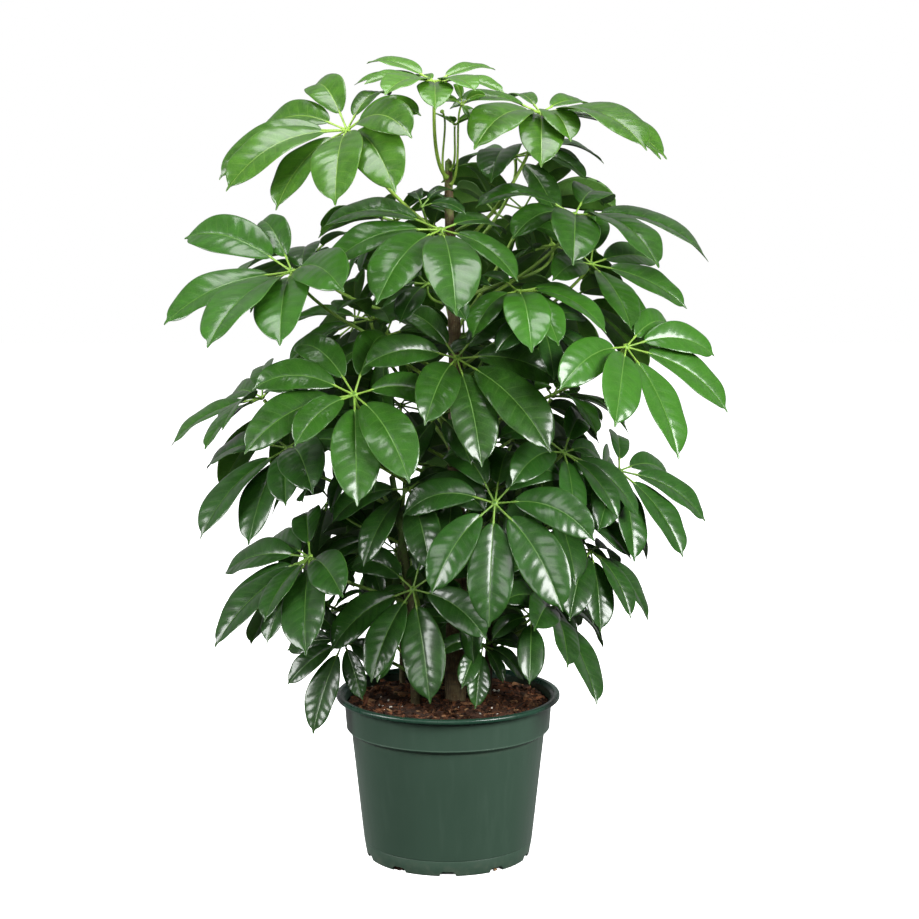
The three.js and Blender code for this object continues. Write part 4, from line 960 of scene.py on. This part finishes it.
LEAF_FINISH = {
    "young_leaf": [
        lamina("young_leaf_upper", "#4f8620", "#1e480e", "#8fb450", "#86b81c", 0.36),
        lamina("young_leaf_under", "#6a9638", "#4f7d2a", "#9abc58", "#86b81c", 0.5, True),
        stalk_finish("young_leaf_stalk", "#9dbf4e", "#7ea53a")],
    "leaf": [
        lamina("waxy_leaf_upper", "#38721a", "#17390c", "#6f9c46", "#74a01c", 0.38),
        lamina("waxy_leaf_under", "#4f7d2c", "#3c6820", "#84a44c", "#74a01c", 0.5, True),
        stalk_finish("waxy_leaf_stalk", "#8fb448", "#6f9736")],
    "old_leaf": [
        lamina("old_leaf_upper", "#2c601c", "#12300e", "#628c3e", "#5f8f1c", 0.36),
        lamina("old_leaf_under", "#436a28", "#31551e", "#76954a", "#5f8f1c", 0.5, True),
        stalk_finish("old_leaf_stalk", "#7fa444", "#5f8632")],
}
# How dark each leaf's green is, from 0 for a new leaf to 1: partly its age, partly painted shade and
# light. The crown is the palest, leaves in the others' shade are painted darker, and some leaves
# that reach far out to the light are painted paler.
DARKNESS = {1: 0.1, 2: 0.1, 3: 0.75, 4: 0.7, 7: 0.7, 8: 0.5, 9: 0.5, 10: 0.15, 11: 0.05, 12: 0.6,
            14: 0.65, 15: 0.9, 16: 0.8, 19: 0.4, 20: 0.25, 21: 0.1, 22: 0.5, 49: 0.1, 50: 0.1}


def leaf_parts(leaf, fine):
    """All the skins of one leaf, and the numbers its materials read at each point. The darkness
    of a leaflet is its leaf's, give or take 0.15."""
    rng = np.random.default_rng(1000 + leaf.number)
    dark = DARKNESS.get(leaf.number, 0.75)
    parts, notes = [], {"across": [], "along": [], "off_midrib": [], "tone": []}
    for place in leaf.placed:
        made, numbers = blade_skin(leaf, place, rng, fine)
        parts.append(made)
        for key, values in numbers.items():
            notes[key].append(values)
        notes["tone"].append(np.full(len(made[0]), np.clip(dark + rng.uniform(-0.15, 0.15), 0, 1)))
    for made in leaf_stalks(leaf, fine):
        parts.append((*made, 2))
        for key in ("across", "along", "off_midrib"):
            notes[key].append(np.zeros(len(made[0])))
        notes["tone"].append(np.full(len(made[0]), rng.uniform(0, 1)))
    return parts, notes


for leaf in leaves:
    age = "young_leaf" if leaf.hub[2] > 800 else "leaf" if leaf.hub[2] > 500 else "old_leaf"
    parts, notes = leaf_parts(leaf, len(leaf.leaflets[0]) == 2 or leaf.number < 30)
    whole = piece(f"umbrella_leaf_{leaf.number:02d}", parts, LEAF_FINISH[age], notes=notes)
    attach(whole, "root")
    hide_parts(f"leaf_{leaf.number:02d}")


def grown_together(name, group, age):
    """One object of several small leaves, in the finish of their age."""
    parts, notes = [], {"across": [], "along": [], "off_midrib": [], "tone": []}
    for leaf in group:
        made, numbers = leaf_parts(leaf, False)
        parts += made
        for key, values in numbers.items():
            notes[key] += values
    cluster = piece(name, parts, LEAF_FINISH[age], notes=notes)
    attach(cluster, "root")


# The opening leaves
# Two more young leaves unfold beside the bud at the tip of the main stem. Their leaflets are still
# short and hang straight down.
OPENING = [[16, -26, 850, -70, 62, 30, 0.9, 10, "trunk", 762, evenly(0, 6)],
           [-6, -18, 842, -115, 55, 27, 1.0, 10, "trunk", 770, evenly(20, 6)]]
opening = []
for number, row in enumerate(OPENING, len(leaves) + 1):
    leaf = Leaf(number, row)
    mark_stalk(leaf)
    place_leaflets(leaf)
    opening.append(leaf)
grown_together("opening_leaves", opening, "young_leaf")

# The inner leaves
# Small leaves that the stems keep in the shade of the big ones. They opened last, into what room
# was left, and are given the oldest leaves' dark finish as painted shade.
INNER_TRIES = 1500
INNER_MOST = 48


def inner_leaf(number, rng):
    """A small leaf at random: its joint on any stem over 230 mm, its knob 25 to 115 mm out from
    there and 15 to 75 mm up."""
    stem = rng.choice(list(STEMS))
    joint = rng.uniform(230, STEMS[stem][-1][2] - 60)
    x, y, r = stem_line(stem, joint)
    way, out = rng.uniform(-180, 180), rng.uniform(25, 115)
    at = [x + out * np.cos(np.radians(way)), y + out * np.sin(np.radians(way)), joint + rng.uniform(15, 75)]
    return Leaf(number, [*at, way + rng.normal(0, 15), rng.uniform(20, 60), rng.uniform(50, 76),
                         rng.uniform(0.6, 1.1), 8, stem, joint, evenly(rng.uniform(-180, 180), 6)])


def stalk_is_clear(leaf):
    """Whether the stalk's cells and those next to them are free, but for its own stem's in the
    first 10 mm."""
    way = leaf.stalk(np.linspace(0, 1, 60))
    near = cells[cell_of(way)[:, None] + NEAR]
    root = np.linalg.norm(way - way[0], axis=1) < 10
    return not near[~root].any() and near[root].max() < 2


rng = np.random.default_rng(21)
inner, number = [], len(leaves) + len(opening) + 1
for _ in range(INNER_TRIES):
    leaf = inner_leaf(number, rng)
    if len(inner) < INNER_MOST and stalk_is_clear(leaf):
        mark_stalk(leaf)
        place_leaflets(leaf, MOVES[:24])
        if len(leaf.placed) > 2:
            inner.append(leaf)
            number += 1
        else:
            cells[cells // MARKS == number] = 0
grown_together("inner_leaves", inner, "old_leaf")

# The studio
# A white table under large soft lamps, and the camera where the photographer stood.
CAMERA_AT = (0.013, -2.804, 0.9134)
CAMERA_DOWN = 9.28
LENS = 99.38
SENSOR = 36
TABLE = 5
ROOM_LIGHT = 0.06
BACKDROP_LIGHT = 0.4


def paper():
    """White seamless paper, matt, with a faint tooth. It is lit from below as well, so that its
    shadows stay pale."""
    material, tree, shader = new_material("white_seamless_paper")
    where = add(tree, "TexCoord", out="Object")
    tooth = add(tree, "TexNoise", {"Vector": where, "Scale": 1 / (2 * MM)})
    white = add(tree, "MapRange", {0: tooth, 1: 0.2, 2: 0.8, 3: 0.86, 4: 0.9})
    white = add(tree, "CombineColor", {0: white, 1: white, 2: white})
    fill(tree, shader, {"Base Color": white, "Roughness": 0.9, "Emission Color": "#ffffff",
                        "Emission Strength": 1.0, "Specular IOR Level": 0.0})
    return material


corner = np.array([[-1, -1, 0], [1, -1, 0], [1, 1, 0], [-1, 1, 0]]) * TABLE / MM
floor = piece("table", [(corner, np.array([[0, 1, 2, 3]]), np.zeros((0, 3), int))], [paper()])
floor.visible_diffuse = False
floor.visible_glossy = False

world = bpy.data.worlds.new("studio")
bpy.context.scene.world = world
world.use_nodes = True
sky = world.node_tree
seen = add(sky, "LightPath", out="Is Camera Ray")
way = add(sky, "TexCoord", out="Generated")
way = add(sky, "SeparateXYZ", {0: way}, 1)
lit = add(sky, "MapRange", {0: way, 1: 0.1, 2: 0.9, 3: ROOM_LIGHT, 4: BACKDROP_LIGHT})
bright = add(sky, "MapRange", {0: seen, 3: lit, 4: 1.0})
fill(sky, sky.nodes["Background"], {"Color": "#ffffff", "Strength": bright})


def soft_lamp(name, at, aim, width, power):
    """A square soft box at a point, turned to face its aim."""
    lamp = bpy.data.lights.new(name, "AREA")
    lamp.shape = "SQUARE"
    lamp.size = width
    lamp.energy = power
    box = bpy.data.objects.new(name, lamp)
    box.location = at
    box.rotation_euler = (Vector(aim) - Vector(at)).to_track_quat("-Z", "Y").to_euler()
    bpy.context.scene.collection.objects.link(box)


soft_lamp("key_lamp", (2.1, -1.8, 1.8), (0, 0, 0.40), 1.4, 165)
soft_lamp("fill_lamp", (-2.5, -0.9, 1.5), (0, 0, 0.4), 1.4, 95)
soft_lamp("front_lamp", (-0.6, -3.0, 1.7), (0, 0, 0.4), 1.4, 29)
soft_lamp("top_lamp", (-0.1, 0.0, 3.2), (0, 0, 0.5), 1.8, 72)

view = bpy.data.cameras.new("camera")
view.lens = LENS
view.sensor_width = SENSOR
camera = bpy.data.objects.new("camera", view)
camera.location = CAMERA_AT
camera.rotation_euler = Euler((np.radians(90 - CAMERA_DOWN), 0, 0))
bpy.context.scene.collection.objects.link(camera)
bpy.context.scene.camera = camera
bpy.context.scene.view_settings.view_transform = "Standard"
